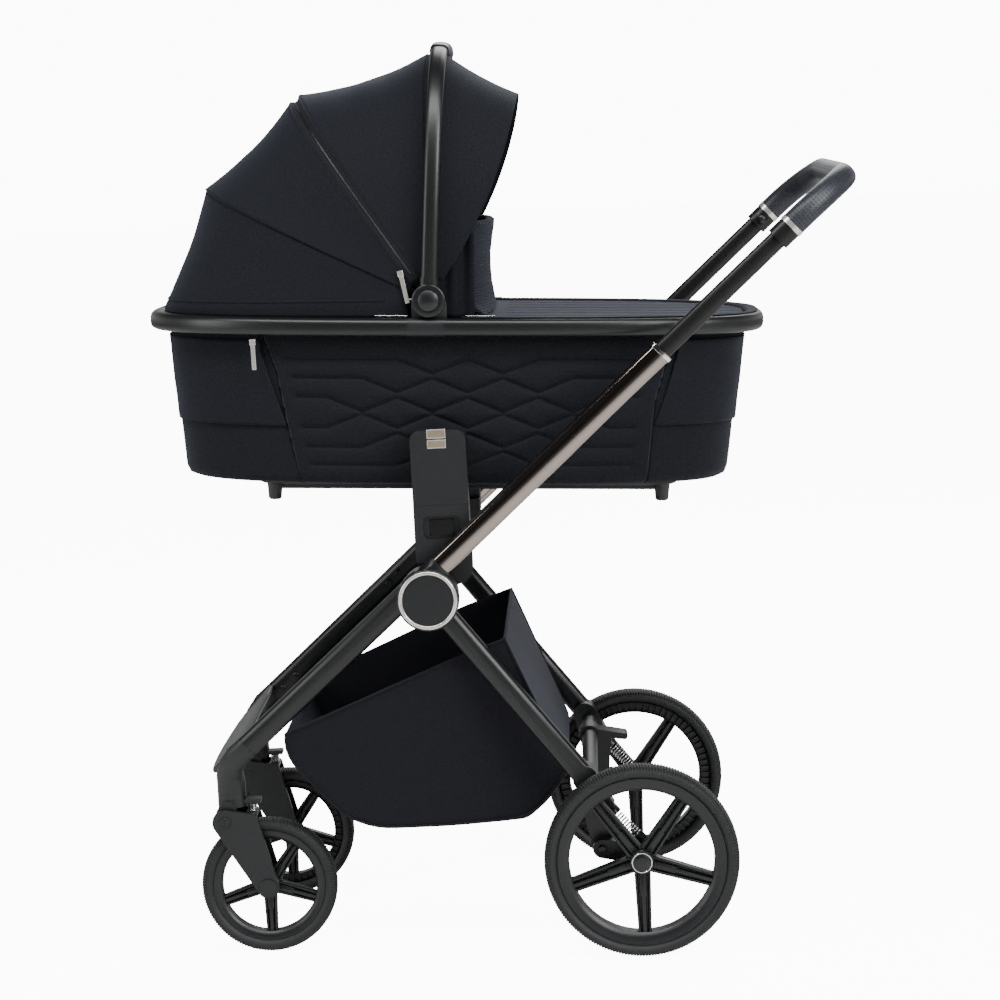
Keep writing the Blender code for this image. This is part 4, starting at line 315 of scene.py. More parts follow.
plain = shader.inputs["Base Color"].links[0].from_socket
set_node(tree, grain, {"Normal": raised_by(tree, proud, 1.0, 0.0008)})
# Painted highlight: the studs' tops are coloured lighter grey than the nylon round them
set_node(tree, shader, {"Base Color": mixed(tree, proud, plain, "#303438")})
# Pale matt studio floor. It shines to the camera alone, so that its edge doesn't show.
FLOOR = hard_finish("matt_studio_floor", "#f1f1f0", "#f5f5f4", 0.8, 0.05, 0.0100, 0.00002)
BACKDROP = 11.0


def seen_only(tree, strength):
    """A strength for what the camera sees directly, and none for the light on the pram."""
    return maths(tree, "MULTIPLY", add_node(tree, "LightPath").outputs["Is Camera Ray"], strength)


tree = FLOOR.node_tree
set_node(tree, node_of(tree, "BSDF_PRINCIPLED"), {
    "Emission Color": colour_of("#ffffff"), "Emission Strength": seen_only(tree, BACKDROP),
})


# Making pieces

def finish_piece(name, shape, finish, body, angle=40.0, levels=0, wall=0.0, inward=True):
    """Make an object of a finished shape, with its finish, smooth shading and the body it rides on."""
    mesh = bpy.data.meshes.new(name)
    shape.to_mesh(mesh)
    shape.free()
    mesh.materials.append(finish)
    mesh.shade_smooth()
    mesh.set_sharp_from_angle(angle=math.radians(angle))
    made = bpy.data.objects.new(name, mesh)
    bpy.context.scene.collection.objects.link(made)
    if wall:
        solid = made.modifiers.new("wall", "SOLIDIFY")
        solid.thickness = wall
        solid.offset = -1.0 if inward else 1.0
    if levels:
        smooth = made.modifiers.new("smooth", "SUBSURF")
        smooth.levels = smooth.render_levels = levels
    if body:
        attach(made, body)
    return made


def spun(profile, centre, side, steps, closed=False, keep=None, mid=0.0):
    """A shape turned about the line through centre along Y, from (radius, y) points, y outwards from mid."""
    shape = keep or bmesh.new()
    rim = [shape.verts.new((centre.x + radius, side * (mid + y), centre.z)) for radius, y in profile]
    pairs = list(zip(rim, rim[1:])) + ([(rim[-1], rim[0])] if closed else [])
    edges = [shape.edges.new(pair) for pair in pairs]
    bmesh.ops.spin(shape, geom=rim + edges, cent=(centre.x, 0, centre.z), axis=(0, 1, 0), angle=2 * math.pi,
                   steps=steps, use_merge=True)
    bmesh.ops.remove_doubles(shape, verts=shape.verts, dist=1e-6)
    bmesh.ops.recalc_face_normals(shape, faces=shape.faces)
    return shape


def rounded(value, power):
    """A sine or cosine drawn out towards a square of that power."""
    return math.copysign(abs(value) ** (2 / power), value)


def oval_points(width, height, power, steps):
    """A rounded section as (across, up) points."""
    angles = [2 * math.pi * (k + 0.5) / steps for k in range(steps)]
    return [(rounded(math.cos(a), power) * width / 2, rounded(math.sin(a), power) * height / 2) for a in angles]


def distances(points):
    """How far along a flat chain each of its points lies."""
    lengths = [0.0]
    for (a, b), (c, d) in zip(points, points[1:]):
        lengths.append(lengths[-1] + math.hypot(c - a, d - b))
    return lengths


def grown(shape, edges):
    """Extrude edges: (new vertices, new edges)."""
    made = bmesh.ops.extrude_edge_only(shape, edges=edges)["geom"]
    return tuple([g for g in made if isinstance(g, kind)] for kind in (bmesh.types.BMVert, bmesh.types.BMEdge))


def run_along(path, section, tops, closed=False, scales=None):
    """Carry a section along a path. tops gives each point's up direction. UVs are in metres."""
    frames = []
    count = len(path)
    for k, point in enumerate(path):
        if closed:
            ahead = (path[(k + 1) % count] - path[k - 1]).normalized()
        else:
            ahead = (path[min(k + 1, count - 1)] - path[max(k - 1, 0)]).normalized()
        top = tops[k] if isinstance(tops, list) else tops
        across = ahead.cross(top).normalized()
        top = across.cross(ahead).normalized()
        scale = scales[k] if scales else 1.0
        frames.append(frame_of(across * scale, top * scale, ahead, point))
    shape = bmesh.new()
    flat = shape.loops.layers.uv.new("UVMap")
    first = [shape.verts.new(frames[0] @ Vector((a, b, 0))) for a, b in section]
    n = len(first)
    girth = distances(section + section[:1])
    ring = [shape.edges.new((first[k], first[(k + 1) % n])) for k in range(n)]
    if not closed:
        shape.faces.new(first)
    column = {vert: k for k, vert in enumerate(first)}
    reach = dict.fromkeys(first, 0.0)
    travelled, last = 0.0, frames[0]
    order = list(zip(frames[1:], path[1:], path))
    if closed:
        order.append((frames[0], path[0], path[-1]))
    for there, point, before in order:
        travelled += (point - before).length
        where = {tuple(v.co): column[v] for e in ring for v in e.verts}
        verts, ring = grown(shape, ring)
        for vert in verts:
            column[vert] = where[tuple(vert.co)]
            reach[vert] = travelled
        fresh = set(verts)
        ring = [e for e in ring if e.verts[0] in fresh and e.verts[1] in fresh]
        bmesh.ops.transform(shape, matrix=there @ last.inverted(), verts=verts)
        last = there
        for face in {f for v in verts for f in v.link_faces}:
            columns = [column[l.vert] for l in face.loops]
            wrapped = max(columns) == n - 1 and min(columns) == 0
            for loop in face.loops:
                k = column[loop.vert]
                loop[flat].uv = (girth[n] if wrapped and k == 0 else girth[k], reach[loop.vert])
    if closed:
        bmesh.ops.remove_doubles(shape, verts=shape.verts, dist=1e-6)
    else:
        shape.faces.new(sorted({v for e in ring for v in e.verts}, key=lambda v: column[v]))
    bmesh.ops.recalc_face_normals(shape, faces=shape.faces)
    return shape


def draped(columns, rows, place, size, marks=None):
    """A grid whose points go where place(s, t) says, for s and t from 0 to 1. size is (width, length) in metres."""
    shape = bmesh.new()
    flat = shape.loops.layers.uv.new("UVMap")
    layers = [(shape.verts.layers.float.new(word), value) for word, value in (marks or {}).items()]
    bmesh.ops.create_grid(shape, x_segments=columns, y_segments=rows, size=1.0, calc_uvs=True)
    for face in shape.faces:
        for loop in face.loops:
            loop[flat].uv = (loop[flat].uv.x * size[0], loop[flat].uv.y * size[1])
    for vert in shape.verts:
        s, t = (vert.co.x + 1) / 2, (vert.co.y + 1) / 2
        for layer, value in layers:
            vert[layer] = value(s, t)
        vert.co = place(s, t)
    return shape


def bevelled(shape, edges, size, segments=2):
    """Round edges off."""
    bmesh.ops.bevel(shape, geom=edges, offset=size, offset_type="OFFSET", affect="EDGES", segments=segments,
                    profile=0.5, material=-1)


def block(low, high, round_size=0.0, segments=2, keep=None):
    """A box with rounded edges between two corners."""
    shape = keep or bmesh.new()
    verts = bmesh.ops.create_cube(shape, size=1.0)["verts"]
    bmesh.ops.scale(shape, vec=Vector(high) - Vector(low), verts=verts)
    bmesh.ops.translate(shape, vec=(Vector(high) + Vector(low)) / 2, verts=verts)
    if round_size:
        edges = list({e for v in verts for e in v.link_edges})
        bevelled(shape, edges, round_size, segments)
    return shape
def side_block(side, x, y, z, round_size, segments=2, keep=None):
    """A rounded block on one side of the pram, from its two xs, ys and zs, the ys growing outwards."""
    near, far = sorted((side * y[0], side * y[1]))
    return block((x[0], near, z[0]), (x[1], far, z[1]), round_size, segments, keep)

def joined(target, *others):
    """Add other shapes to a shape."""
    for other in others:
        spare = bpy.data.meshes.new("spare")
        other.to_mesh(spare)
        other.free()
        target.from_mesh(spare)
        bpy.data.meshes.remove(spare)
    return target


def between(points, value):
    """The second coordinate of a chain of points where the first is value, points in rising order."""
    if value <= points[0][0]:
        return points[0][1]
    for (a, p), (b, q) in zip(points, points[1:]):
        if value <= b:
            return p + (q - p) * (value - a) / (b - a)
    return points[-1][1]


def cot_point(u, v, w):
    """A place given along, across and up from the middle of the rim."""
    c, s = math.cos(COT_TILT), math.sin(COT_TILT)
    return COT_PLACE + Vector((u * c + w * s, v, w * c - u * s))


# Even steps along the carrycot's plan
PLAN_STEPS = 2400


def plan_point(angle, half_length, half_width, power=3.0):
    """A point of the carrycot's plan."""
    return rounded(math.cos(angle), power) * half_length, rounded(math.sin(angle), power) * half_width


def even_angles(count, half=SHELL_HALF):
    """Angles that step evenly along the plan's edge, and the edge's length."""
    angles = [2 * math.pi * k / PLAN_STEPS for k in range(PLAN_STEPS + 1)]
    lengths = distances([plan_point(a, *half) for a in angles])
    chain = list(zip(lengths, angles))
    return [between(chain, lengths[-1] * k / count) for k in range(count + 1)], lengths[-1]


# Carrycot tub: two plain ends, and quilted sides whose stitching runs level and crosses in diamonds
SEAM_HEAD = [(-0.2162, -0.2094), (-0.1397, -0.2266), (-0.0606, -0.2426), (-0.0173, -0.2602)]
SEAM_FOOT = [(-0.2093, 0.2696), (-0.1440, 0.2748), (-0.1025, 0.2787), (-0.0613, 0.2909), (-0.0269, 0.2976)]
CROSS_SEAM = -0.1392
QUILT_MIDDLE = 0.021
QUILT_HALF = 0.0483
QUILT_RISE = 0.0195
# Each stitched line: its level, which way it steps, which vertex it starts from, and how far it zigzags
QUILT_LINES = (
    (-0.0458, -1, 0, 2),
    (-0.0718, -1, 1, 3),
    (-0.0984, -1, 0, 4),
    (-0.1403, 1, 0, 4),
    (-0.1670, 1, 1, 3),
    (-0.1917, 1, 0, 2),
)


def tub_size(w):
    """The tub's half length and half width at a height."""
    share = (SHELL_TOP - w) / (SHELL_TOP + SHELL_DEPTH)
    return SHELL_HALF[0] - SHELL_TAPER * share, SHELL_HALF[1]


def beyond_quilt(u, w):
    """How far a place lies past the ends of the stitching."""
    return max(0.0, between(SEAM_HEAD, w) + 0.021 - u, u - between(SEAM_FOOT, w) + 0.026)


def stitch_distance(u, w):
    """How far a place on the quilted side is from the nearest stitching, negative between every other pair."""
    nearest, sign = 1.0, 1
    t = abs(u - QUILT_MIDDLE) / QUILT_HALF
    for height, way, start, reach in QUILT_LINES:
        phase = t % 2
        wave = abs(phase - 1) if start else 1 - abs(phase - 1)
        if t > reach:
            wave = 0.0
        gap = w - height - way * QUILT_RISE * wave
        if gap < 0:
            sign = -sign
        nearest = min(nearest, abs(gap) * (QUILT_HALF / math.hypot(QUILT_HALF, QUILT_RISE) if t <= reach else 1.0))
    return nearest * sign


def seam_distance(u, w):
    """How far a place on the tub lies inside the seams round its quilted side."""
    return min(u - between(SEAM_HEAD, w), between(SEAM_FOOT, w) - u)


TUB_COLUMNS = 600
TUB_ROWS = 64
tub_angles, tub_girth = even_angles(TUB_COLUMNS)


def tub_place(angle, w, out=0.0):
    """A point of the tub's side, standing out from it by so much."""
    half_length, half_width = tub_size(w)
    u, v = plan_point(angle, half_length, half_width)
    a, b = plan_point(angle + 0.0005, half_length, half_width)
    c, d = plan_point(angle - 0.0005, half_length, half_width)
    normal = Vector((b - d, c - a, 0.0))
    normal = normal.normalized() if normal.length else Vector((math.copysign(1, u), 0, 0))
    return cot_point(u + normal.x * out, v + normal.y * out, w)


def tub_height(t):
    """The height of a row of the tub, from its top down to where the floor's rounding starts."""
    return SHELL_TOP - (SHELL_TOP + SHELL_DEPTH - SHELL_ROUND) * t


def on_tub(s, t):
    """A place of the tub's side as (along, up)."""
    w = tub_height(t)
    return plan_point(tub_angles[round(s * TUB_COLUMNS)], *tub_size(w))[0], w


def tub_surface(s, t):
    """A point of the tub's side, swelling between its lines of stitching."""
    angle = tub_angles[round(s * TUB_COLUMNS)]
    w = tub_height(t)
    u = plan_point(angle, *tub_size(w))[0]
    edge = math.sin(math.pi * min(1.0, max(0.0, t))) ** 0.5
    out = -0.0012 * math.exp(-abs(seam_distance(u, w)) / 0.004)
    if seam_distance(u, w) > 0:
        away = math.hypot(stitch_distance(u, w), beyond_quilt(u, w))
        out += 0.0062 * (1 - math.exp(-away / 0.0075)) * edge - 0.0016
    else:
        out += 0.0012 * noise.noise(Vector((u * 14, w * 11, math.copysign(3, angle - math.pi)))) * edge
    return tub_place(angle, w, out)


tub = draped(TUB_COLUMNS, TUB_ROWS, tub_surface, (tub_girth, 0.21), {
    "stitch": lambda s, t: stitch_distance(*on_tub(s, t)),
    "sewn": lambda s, t: max(0.0, 1 - beyond_quilt(*on_tub(s, t)) / 0.003),
    "seam": lambda s, t: seam_distance(*on_tub(s, t)),
})
bmesh.ops.remove_doubles(tub, verts=tub.verts, dist=1e-6)
lower = [e for e in tub.edges if e.is_boundary and (e.verts[0].co - COT_PLACE).z < -0.1]
# The rounding to the floor in two steps, then a border for the floor's face
for along, across, drop in (
    (1 - 0.0036 / 0.385, 1 - 0.0036 / 0.2, 0.0084), (1 - 0.0084 / 0.385, 1 - 0.0084 / 0.2, 0.0036), (0.9, 0.9, 0.0),
):
    verts, edges = grown(tub, lower)
    lower = [e for e in edges if e.is_boundary]
    bmesh.ops.scale(tub, vec=(along, across, 1), verts=verts, space=Matrix.Translation(-COT_PLACE))
    bmesh.ops.translate(tub, vec=(0, 0, -drop), verts=verts)
bmesh.ops.edgeloop_fill(tub, edges=lower)
bmesh.ops.recalc_face_normals(tub, faces=tub.faces)
tub_piece = finish_piece("carrycot_tub", tub, QUILT_CLOTH, "carrycot", 70, wall=0.0035)
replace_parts(tub_piece, "carrycot_shell")

# Ends of the tub: the upper panel of each is a flap, zipped along its top, over the plain panel
FLAP_HEAD = [(-0.1398, -0.2280), (-0.1072, -0.2403), (-0.0691, -0.2538), (-0.0338, -0.2646)]
FLAP_FOOT = [(-0.1386, 0.2775), (-0.1166, 0.2857), (-0.0823, 0.2966), (-0.0369, 0.3088)]
END_FLAP = (0.62, 0.117)


def end_flap(name, edge, head):
    """A flap round one end of the tub, from the near side to the far side."""
    def place(s, t):
        w = CROSS_SEAM + 0.001 + END_FLAP[1] * t
        swing = math.acos((abs(between(edge, w)) / tub_size(w)[0]) ** 1.5)
        across = 2 * s - 1
        turn = math.sin(across * math.pi / 2) * 0.35 + across * 0.65
        angle = (math.pi if head else 0.0) + swing * turn
        loose = 0.0018 * (1 - across ** 6) + 0.0040 * (abs(across) ** 12) * t
        wave = 0.0010 * noise.noise(Vector((angle * 6, t * 3, 5)))
        return tub_place(angle, w, 0.0018 + loose + wave)

    shape = draped(160, 28, place, END_FLAP)
    bmesh.ops.recalc_face_normals(shape, faces=shape.faces)
    made = finish_piece(name, shape, HOOD_CLOTH, "carrycot", 60, wall=0.0016, inward=False)

end_flap("head_end_flap", FLAP_HEAD, True)
end_flap("foot_end_flap", FLAP_FOOT, False)

# Rim: one bent oval tube, with a moulded sleeve and ear at each hood pivot
half = (RIM_HALF[0] - RIM_SECTION[0] / 2, RIM_HALF[1] - RIM_SECTION[0] / 2)
rim_path = [cot_point(*plan_point(a, *half), 0.0) for a in even_angles(220, RIM_HALF)[0][:-1]]
top = cot_point(0, 0, 1) - cot_point(0, 0, 0)
rim = run_along(rim_path, oval_points(*RIM_SECTION, 3.0, 24), top, closed=True)
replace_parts(finish_piece("rim_tube", rim, COATED, "carrycot", 60), "carrycot_rim")


def rim_height(x):
    """The height of the rim's middle line, which falls towards the foot end."""
    return COT_PLACE.z - (x - COT_PLACE.x) * math.tan(COT_TILT)


ears = bmesh.new()
for side, word in SIDES:
    run = [p for p in rim_path if p.y * side > 0 and PIVOT.x - 0.0400 < p.x < PIVOT.x + 0.0262]
    run.sort(key=lambda p: p.x)
    joined(ears, run_along(run, oval_points(RIM_SECTION[0] + 0.0005, RIM_SECTION[1] + 0.0006, 3.0, 28), top))
    side_block(side, (PIVOT.x - 0.0245, PIVOT.x + 0.0235), (0.2026, 0.2126), (rim_height(PIVOT.x), PIVOT.z - 0.003),
               0.0015, keep=ears)
    spun([(0, 0.2026), (0.0195, 0.2026), (0.0205, 0.2036), (0.0205, 0.2126), (0, 0.2126)], PIVOT, side, 48,
         keep=ears)
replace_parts(finish_piece("rim_ears", ears, NYLON, "carrycot", 40), "carrycot_rim")


# Hood: one curved canopy over the bows, hollow between them
def hoop_point(share, radius, half_width, power=2.9, start=0.030):
    """(y, reach) of a hoop about the pivot, share from 0 on the near side to 1 on the far side."""
    angle = math.pi * share
    reach = start + (radius - start) * abs(math.sin(angle)) ** (2 / power)
    return rounded(-math.cos(angle), power) * half_width, reach


def even_hoop(count, radius, half_width, power=2.9, start=0.030):
    """Shares that step evenly along a hoop, and its length."""
    fine = [k / 1200 for k in range(1201)]
    lengths = distances([hoop_point(f, radius, half_width, power, start) for f in fine])
    chain = list(zip(lengths, fine))
    return [between(chain, lengths[-1] * k / count) for k in range(count + 1)], lengths[-1]


def on_fan(angle, y, reach):
    """A place beside or over the pivot, on a plane that leans by angle from upright."""
    return PIVOT + Vector((math.sin(angle) * reach, y, math.cos(angle) * reach))


HOOP_COLUMNS = 120
hoop_shares, hoop_length = even_hoop(HOOP_COLUMNS, 0.345, 0.2065)
HOOD_WIDTH = 0.2056


def fan_line(edge, share, out=0.0):
    """A point of a line over the hood, as on_fan takes it. The line is (angle, radius, offset along the cloth)."""
    angle, radius, offset = edge
    y, reach = hoop_point(share, radius + out, HOOD_WIDTH + out)
    return angle + offset / max(reach, 0.045), y, reach


def inward_from(point, share=0.55):
    """The way in from a point of the hood."""
    return (Vector((PIVOT.x, point.y * share, PIVOT.z)) - point).normalized()


def creased(point, depth, along, across):
    """How far loose cloth stands in or out at a point."""
    return depth * noise.noise(Vector((point.x * along, point.y * across, point.z * along)))


def hood_sheet(name, place, rows, length, body):
    """A sheet of the hood, its outer face away from the pivot."""
    shape = draped(HOOP_COLUMNS, rows, place, (hoop_length, length))
    if sum(f.normal.dot(f.calc_center_median() - PIVOT) for f in shape.faces) < 0:
        bmesh.ops.reverse_faces(shape, faces=shape.faces)
    return finish_piece(name, shape, HOOD_CLOTH, body, 80, wall=0.0022)


def panel(name, first, second, rows, hollow, body, length, folds=0.0):
    """A hood panel between two lines."""
    def place(s, t):
        share = hoop_shares[round(s * HOOP_COLUMNS)]
        low, high = fan_line(first, share), fan_line(second, share)
        point = on_fan(*low).lerp(on_fan(*high), t)
        depth = hollow * 4 * t * (1 - t) * min(1.0, (low[2] - 0.02) / 0.30)
        return point + inward_from(point) * (depth + creased(point, folds * math.sin(t * math.pi), 22, 9))

    return hood_sheet(name, place, rows, length, body)


def fan_blend(piece):
    """Bake a hood panel's place into its mesh."""
    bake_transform(piece)


REAR_EDGE = (math.radians(-63.0), 0.3540, 0.0)
ZIP_REAR = (math.radians(-33.0), 0.3335, -0.0085)
ZIP_FRONT = (math.radians(-33.0), 0.3345, 0.0085)
HANDLE_EDGE = (math.radians(1.3), 0.3335, 0.0)
mid_panel = panel("hood_cloth_middle", REAR_EDGE, ZIP_REAR, 30, 0.0082, None, 0.175, folds=0.0016)
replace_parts(mid_panel, "hood_mid_panel")
front_panel = panel("hood_cloth_front", ZIP_FRONT, HANDLE_EDGE, 34, 0.0098, None, 0.20, folds=0.0018)
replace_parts(front_panel, "hood_front_panel")


def rear_place(s, t):
    """The rear panel: from the rear bow down to the hem on the rim."""
    share = hoop_shares[round(s * HOOP_COLUMNS)]
    a = on_fan(*fan_line(REAR_EDGE, share))
    y, reach = hoop_point(share, 0.3844, 0.2065)
    b = on_fan(math.radians(-90), y, reach)
    floor = rim_height(b.x) + RIM_SECTION[1] / 2 + 0.0004
    if t <= 0.86:
        k = t / 0.86
        point = a.lerp(b, k)
        hollow = 0.0046 * 4 * k * (1 - k) * min(1.0, reach / 0.3)
        return point + inward_from(point) * (hollow + creased(point, 0.0014 * math.sin(k * math.pi), 18, 10))
    k = (t - 0.86) / 0.14
    return Vector((b.x, b.y, b.z + (min(floor, b.z - 0.002) - b.z) * k))


rear_panel = hood_sheet("hood_cloth_rear", rear_place, 36, 0.21, None)
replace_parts(rear_panel, "hood_rear_panel")

zip_strip = panel("hood_zip_strip", ZIP_REAR, ZIP_FRONT, 6, 0.0040, "hood_mid_bow", 0.018)
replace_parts(zip_strip, "hood_front_panel")
zip_strip.data.materials[0] = TAPE
fan_blend(rear_panel)
fan_blend(mid_panel)
fan_blend(front_panel)

# Visor: the share of its depth that runs under the carry handle, then its front edge's reach
UNDER_HANDLE = 0.12
VISOR_REACH = 0.3014


def visor_place(s, t):
    """The visor: under the carry handle from the front panel's edge, then forward, its ends tucked in behind."""
    share = hoop_shares[round(s * HOOP_COLUMNS)]
    y, reach = hoop_point(share, 0.3340, HOOD_WIDTH)
    a = on_fan(math.radians(5.0), y, reach)
    if t < UNDER_HANDLE:
        return on_fan(HANDLE_EDGE[0] - math.radians(0.3), y, reach - 0.0013).lerp(a, t / UNDER_HANDLE)
    t = (t - UNDER_HANDLE) / (1 - UNDER_HANDLE)
    y, reach = hoop_point(share, VISOR_REACH, HOOD_WIDTH - 0.002)
    lead = math.radians(13.0) * (1 - (reach / VISOR_REACH) ** 1.2)
    point = a.lerp(on_fan(math.radians(25.8) + lead, y, reach), t)
    return point + inward_from(point, 0.5) * (0.0040 * 4 * t * (1 - t) * min(1.0, reach / 0.25))


visor_piece = hood_sheet("hood_cloth_visor", visor_place, 25, 0.13, "carry_handle")
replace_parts(visor_piece, "hood_visor")

# Carry handle: an oval tube bent to a hoop, with a round eye at each pivot
CARRY_LEAN = math.radians(4.5)
carry_plane = Vector((math.cos(CARRY_LEAN), 0, -math.sin(CARRY_LEAN)))
carry_shares = even_hoop(90, 0.3422, 0.2209, 3.2, 0.010)[0]
carry_path = [on_fan(CARRY_LEAN, *hoop_point(k, 0.34225, 0.2209, 3.2, 0.010)) for k in carry_shares]
# The tube ends short of the button's bore in each eye
carry_run = [p for p in carry_path if math.hypot(p.x - PIVOT.x, p.z - PIVOT.z) > 0.0172]
carry = run_along(carry_run, oval_points(0.0165, 0.023, 2.6, 24), carry_plane)
for side, word in SIDES:
    spun([(0, 0.2129), (0.0215, 0.2129), (0.0230, 0.2144), (0.0230, 0.2280), (0.0222, 0.2293), (0.0205, 0.2299),
          (0.0153, 0.2299), (0.0153, 0.2250), (0, 0.2250)], PIVOT, side, 64, keep=carry)
for side, word in SIDES:
    neck = [p for p in carry_run if p.y * side > 0.1 and p.z - PIVOT.z < 0.036]
    neck.sort(key=lambda p: p.z)
    joined(carry, run_along(neck, oval_points(0.0176, 0.0250, 2.8, 24), carry_plane))
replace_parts(finish_piece("carry_handle_hoop", carry, COATED, "carry_handle", 40), "carry_handle")
on_sleeve = [p for p in carry_path if abs(p.y) < 0.085]
sleeve = run_along(on_sleeve, oval_points(0.0205, 0.027, 2.6, 28), carry_plane)
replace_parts(finish_piece("carry_leather", sleeve, SLEEVE_LEATHER, "carry_handle", 50), "carry_sleeve")

# Grip: punched leather round the handle's bends
GRIP_START, CROSSBAR_REACH, BEND, DROP = 0.7085, 0.804, 0.088, 0.006


def along_handle(reach, side, y, rise=0.0):
    """A point so far up the handle from the hub."""
    point = HANDLE_FOOT + HANDLE_ALONG * reach + HANDLE_UP * rise
    return Vector((point.x, side * y, point.z))


straight_end = CROSSBAR_REACH - BEND
grip_path = []
for side in (-1, 1):
    part = [along_handle(GRIP_START, side, TUBE_Y)]
    for k in range(25):
        turn = 0.5 * math.pi * k / 24
        reach = straight_end + BEND * math.sin(turn)
        fall = -DROP * (max(0.0, reach - straight_end) / BEND) ** 2
        part.append(along_handle(reach, side, TUBE_Y - BEND * (1 - math.cos(turn)), fall))
    run = part[-1]
    part += [Vector((run.x, run.y * (1 - k / 10), run.z)) for k in range(1, 10)]
    grip_path.append(part)
grip_path = grip_path[0] + [along_handle(CROSSBAR_REACH, 0, 0.0, -DROP)] + grip_path[1][::-1]
grip = run_along(grip_path, oval_points(0.0310, 0.0345, 2.3, 32), HANDLE_UP)
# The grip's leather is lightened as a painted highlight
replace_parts(finish_piece("leather_grip", grip, GRIP_LEATHER_PAINTED_HIGHLIGHT, "handle_slider", 50), "grip")


# Wheels: foamed tyres with a slanted tread, and moulded wheels with five I-beam spokes
def tyre_shape(centre, side, radius, width, height, grooves):
    """A tyre whose tread and shoulders are cut by slanted grooves."""
    half_width = width / 2
    seat = radius - height
    profile = [(seat, -half_width * 0.74), (seat + height * 0.22, -half_width * 0.94)]
    for k in range(15):
        turn = math.pi * (k + 0.5) / 15 - math.pi / 2
        reach = seat + height * 0.36 + (height * 0.64) * abs(math.cos(turn)) ** 0.72
        profile.append((reach, half_width * math.copysign(abs(math.sin(turn)) ** 0.8, turn)))
    profile += [(seat + height * 0.22, half_width * 0.94), (seat, half_width * 0.74)]
    steps = grooves * 4
    shape = spun(profile, centre, side, steps, True, mid=centre.y * side)
    for vert in shape.verts:
        off = Vector((vert.co.x - centre.x, 0, vert.co.z - centre.z))
        reach = off.length
        y = (vert.co.y - centre.y) / half_width
        number = round(math.atan2(off.z, off.x) / (2 * math.pi) * steps)
        tread = reach > seat + height * 0.60
        if tread and number % 4 < 2 and abs(y) > 0.10:
            vert.co -= off.normalized() * 0.0011
            vert.co.y -= math.copysign(0.0006, y)
        if tread:
            slant = 0.0035 * abs(y) / reach
            turned = Matrix.Rotation(slant, 3, "Y") @ off
            vert.co.x, vert.co.z = vert.co.x - off.x + turned.x, vert.co.z - off.z + turned.z
    return shape


def wheel_shape(centre, side, seat, rim_depth, rim_width, hub, spoke_depth, widths, ribs):
    """A moulded wheel. side is the outer side; hub is (radius, inner y, outer y) from the middle plane."""
    mid = centre.y * side
    half_width = rim_width / 2
    inner = seat - rim_depth
    floor, ledge = inner + rim_depth * 0.20, seat - 0.0022
    shape = spun([(reach, half_width * share) for reach, share in (
        (inner, -0.70), (inner + 0.0015, -0.82), (inner + rim_depth * 0.14, -0.86), (floor, -0.50), (ledge, -0.50),
        (seat - 0.0017, -0.96), (seat + 0.0008, -0.72), (seat + 0.0008, 0.72), (seat - 0.0006, 1.0),
        (inner + rim_depth * 0.45, 0.96), (floor, 0.86), (inner, 0.66),
    )], centre, side, 96, True, mid=mid)
    # Radial ribs fill the recess on the inner face
    middle, deep = (floor + ledge) / 2, ledge - floor
    for k in range(ribs):
        corner = Vector((deep / 2 + 0.0004, half_width * 0.17, 0.0008))
        rib = block(-corner, corner)
        turn = Matrix.Rotation(-2 * math.pi * k / ribs, 4, "Y")
        place = Matrix.Translation((centre.x, centre.y - side * half_width * 0.67, centre.z))
        bmesh.ops.transform(rib, matrix=place @ turn @ Matrix.Translation((middle, 0, 0)), verts=rib.verts)
        joined(shape, rib)
    radius, low, high = hub
    spun([(0, low), (radius, low), (radius, high - 0.002), (radius - 0.0015, high), (radius - 0.004, high),
          (radius - 0.0045, high - 0.0008), (0, high - 0.0008)], centre, side, 48, keep=shape, mid=mid)
    for k in range(5):
        arm = bmesh.new()
        verts = bmesh.ops.create_cube(arm, size=1.0)["verts"]
        start, end = radius * 0.72, inner + rim_depth * 0.30
        for vert in verts:
            far = vert.co.x > 0
            vert.co.x = end if far else start
            vert.co.y *= spoke_depth
            vert.co.z *= widths[1] if far else widths[0]
        broad = [f for f in arm.faces if abs(f.normal.y) > 0.9]
        # A groove down each broad face leaves two ribs and a web
        bmesh.ops.inset_region(arm, faces=broad, thickness=0.0030, depth=0.0, use_even_offset=True)
        bmesh.ops.inset_region(arm, faces=broad, thickness=0.0012, depth=-spoke_depth * 0.30, use_even_offset=True)
        sharp = [e for e in arm.edges if e.calc_face_angle(0) > 1.0]
        bevelled(arm, sharp, 0.0006)
        span = end - start
        for first, last, broad, proud in ((0.02, 0.40, 0.0042, 0.0008), (0.10, 0.97, 0.0024, 0.0014)):
            along = (start + span * first, start + span * last)
            out = (spoke_depth * 0.18, spoke_depth / 2 + proud)
            for sign in (-1, 1):
                side_block(sign, along, out, (-broad, broad), 0.0005, keep=arm)
        turn = Matrix.Rotation(math.pi / 2 - 2 * math.pi * k / 5, 4, "Y")
        bmesh.ops.transform(arm, matrix=Matrix.Translation(centre) @ turn, verts=arm.verts)
        joined(shape, arm)
    return shape


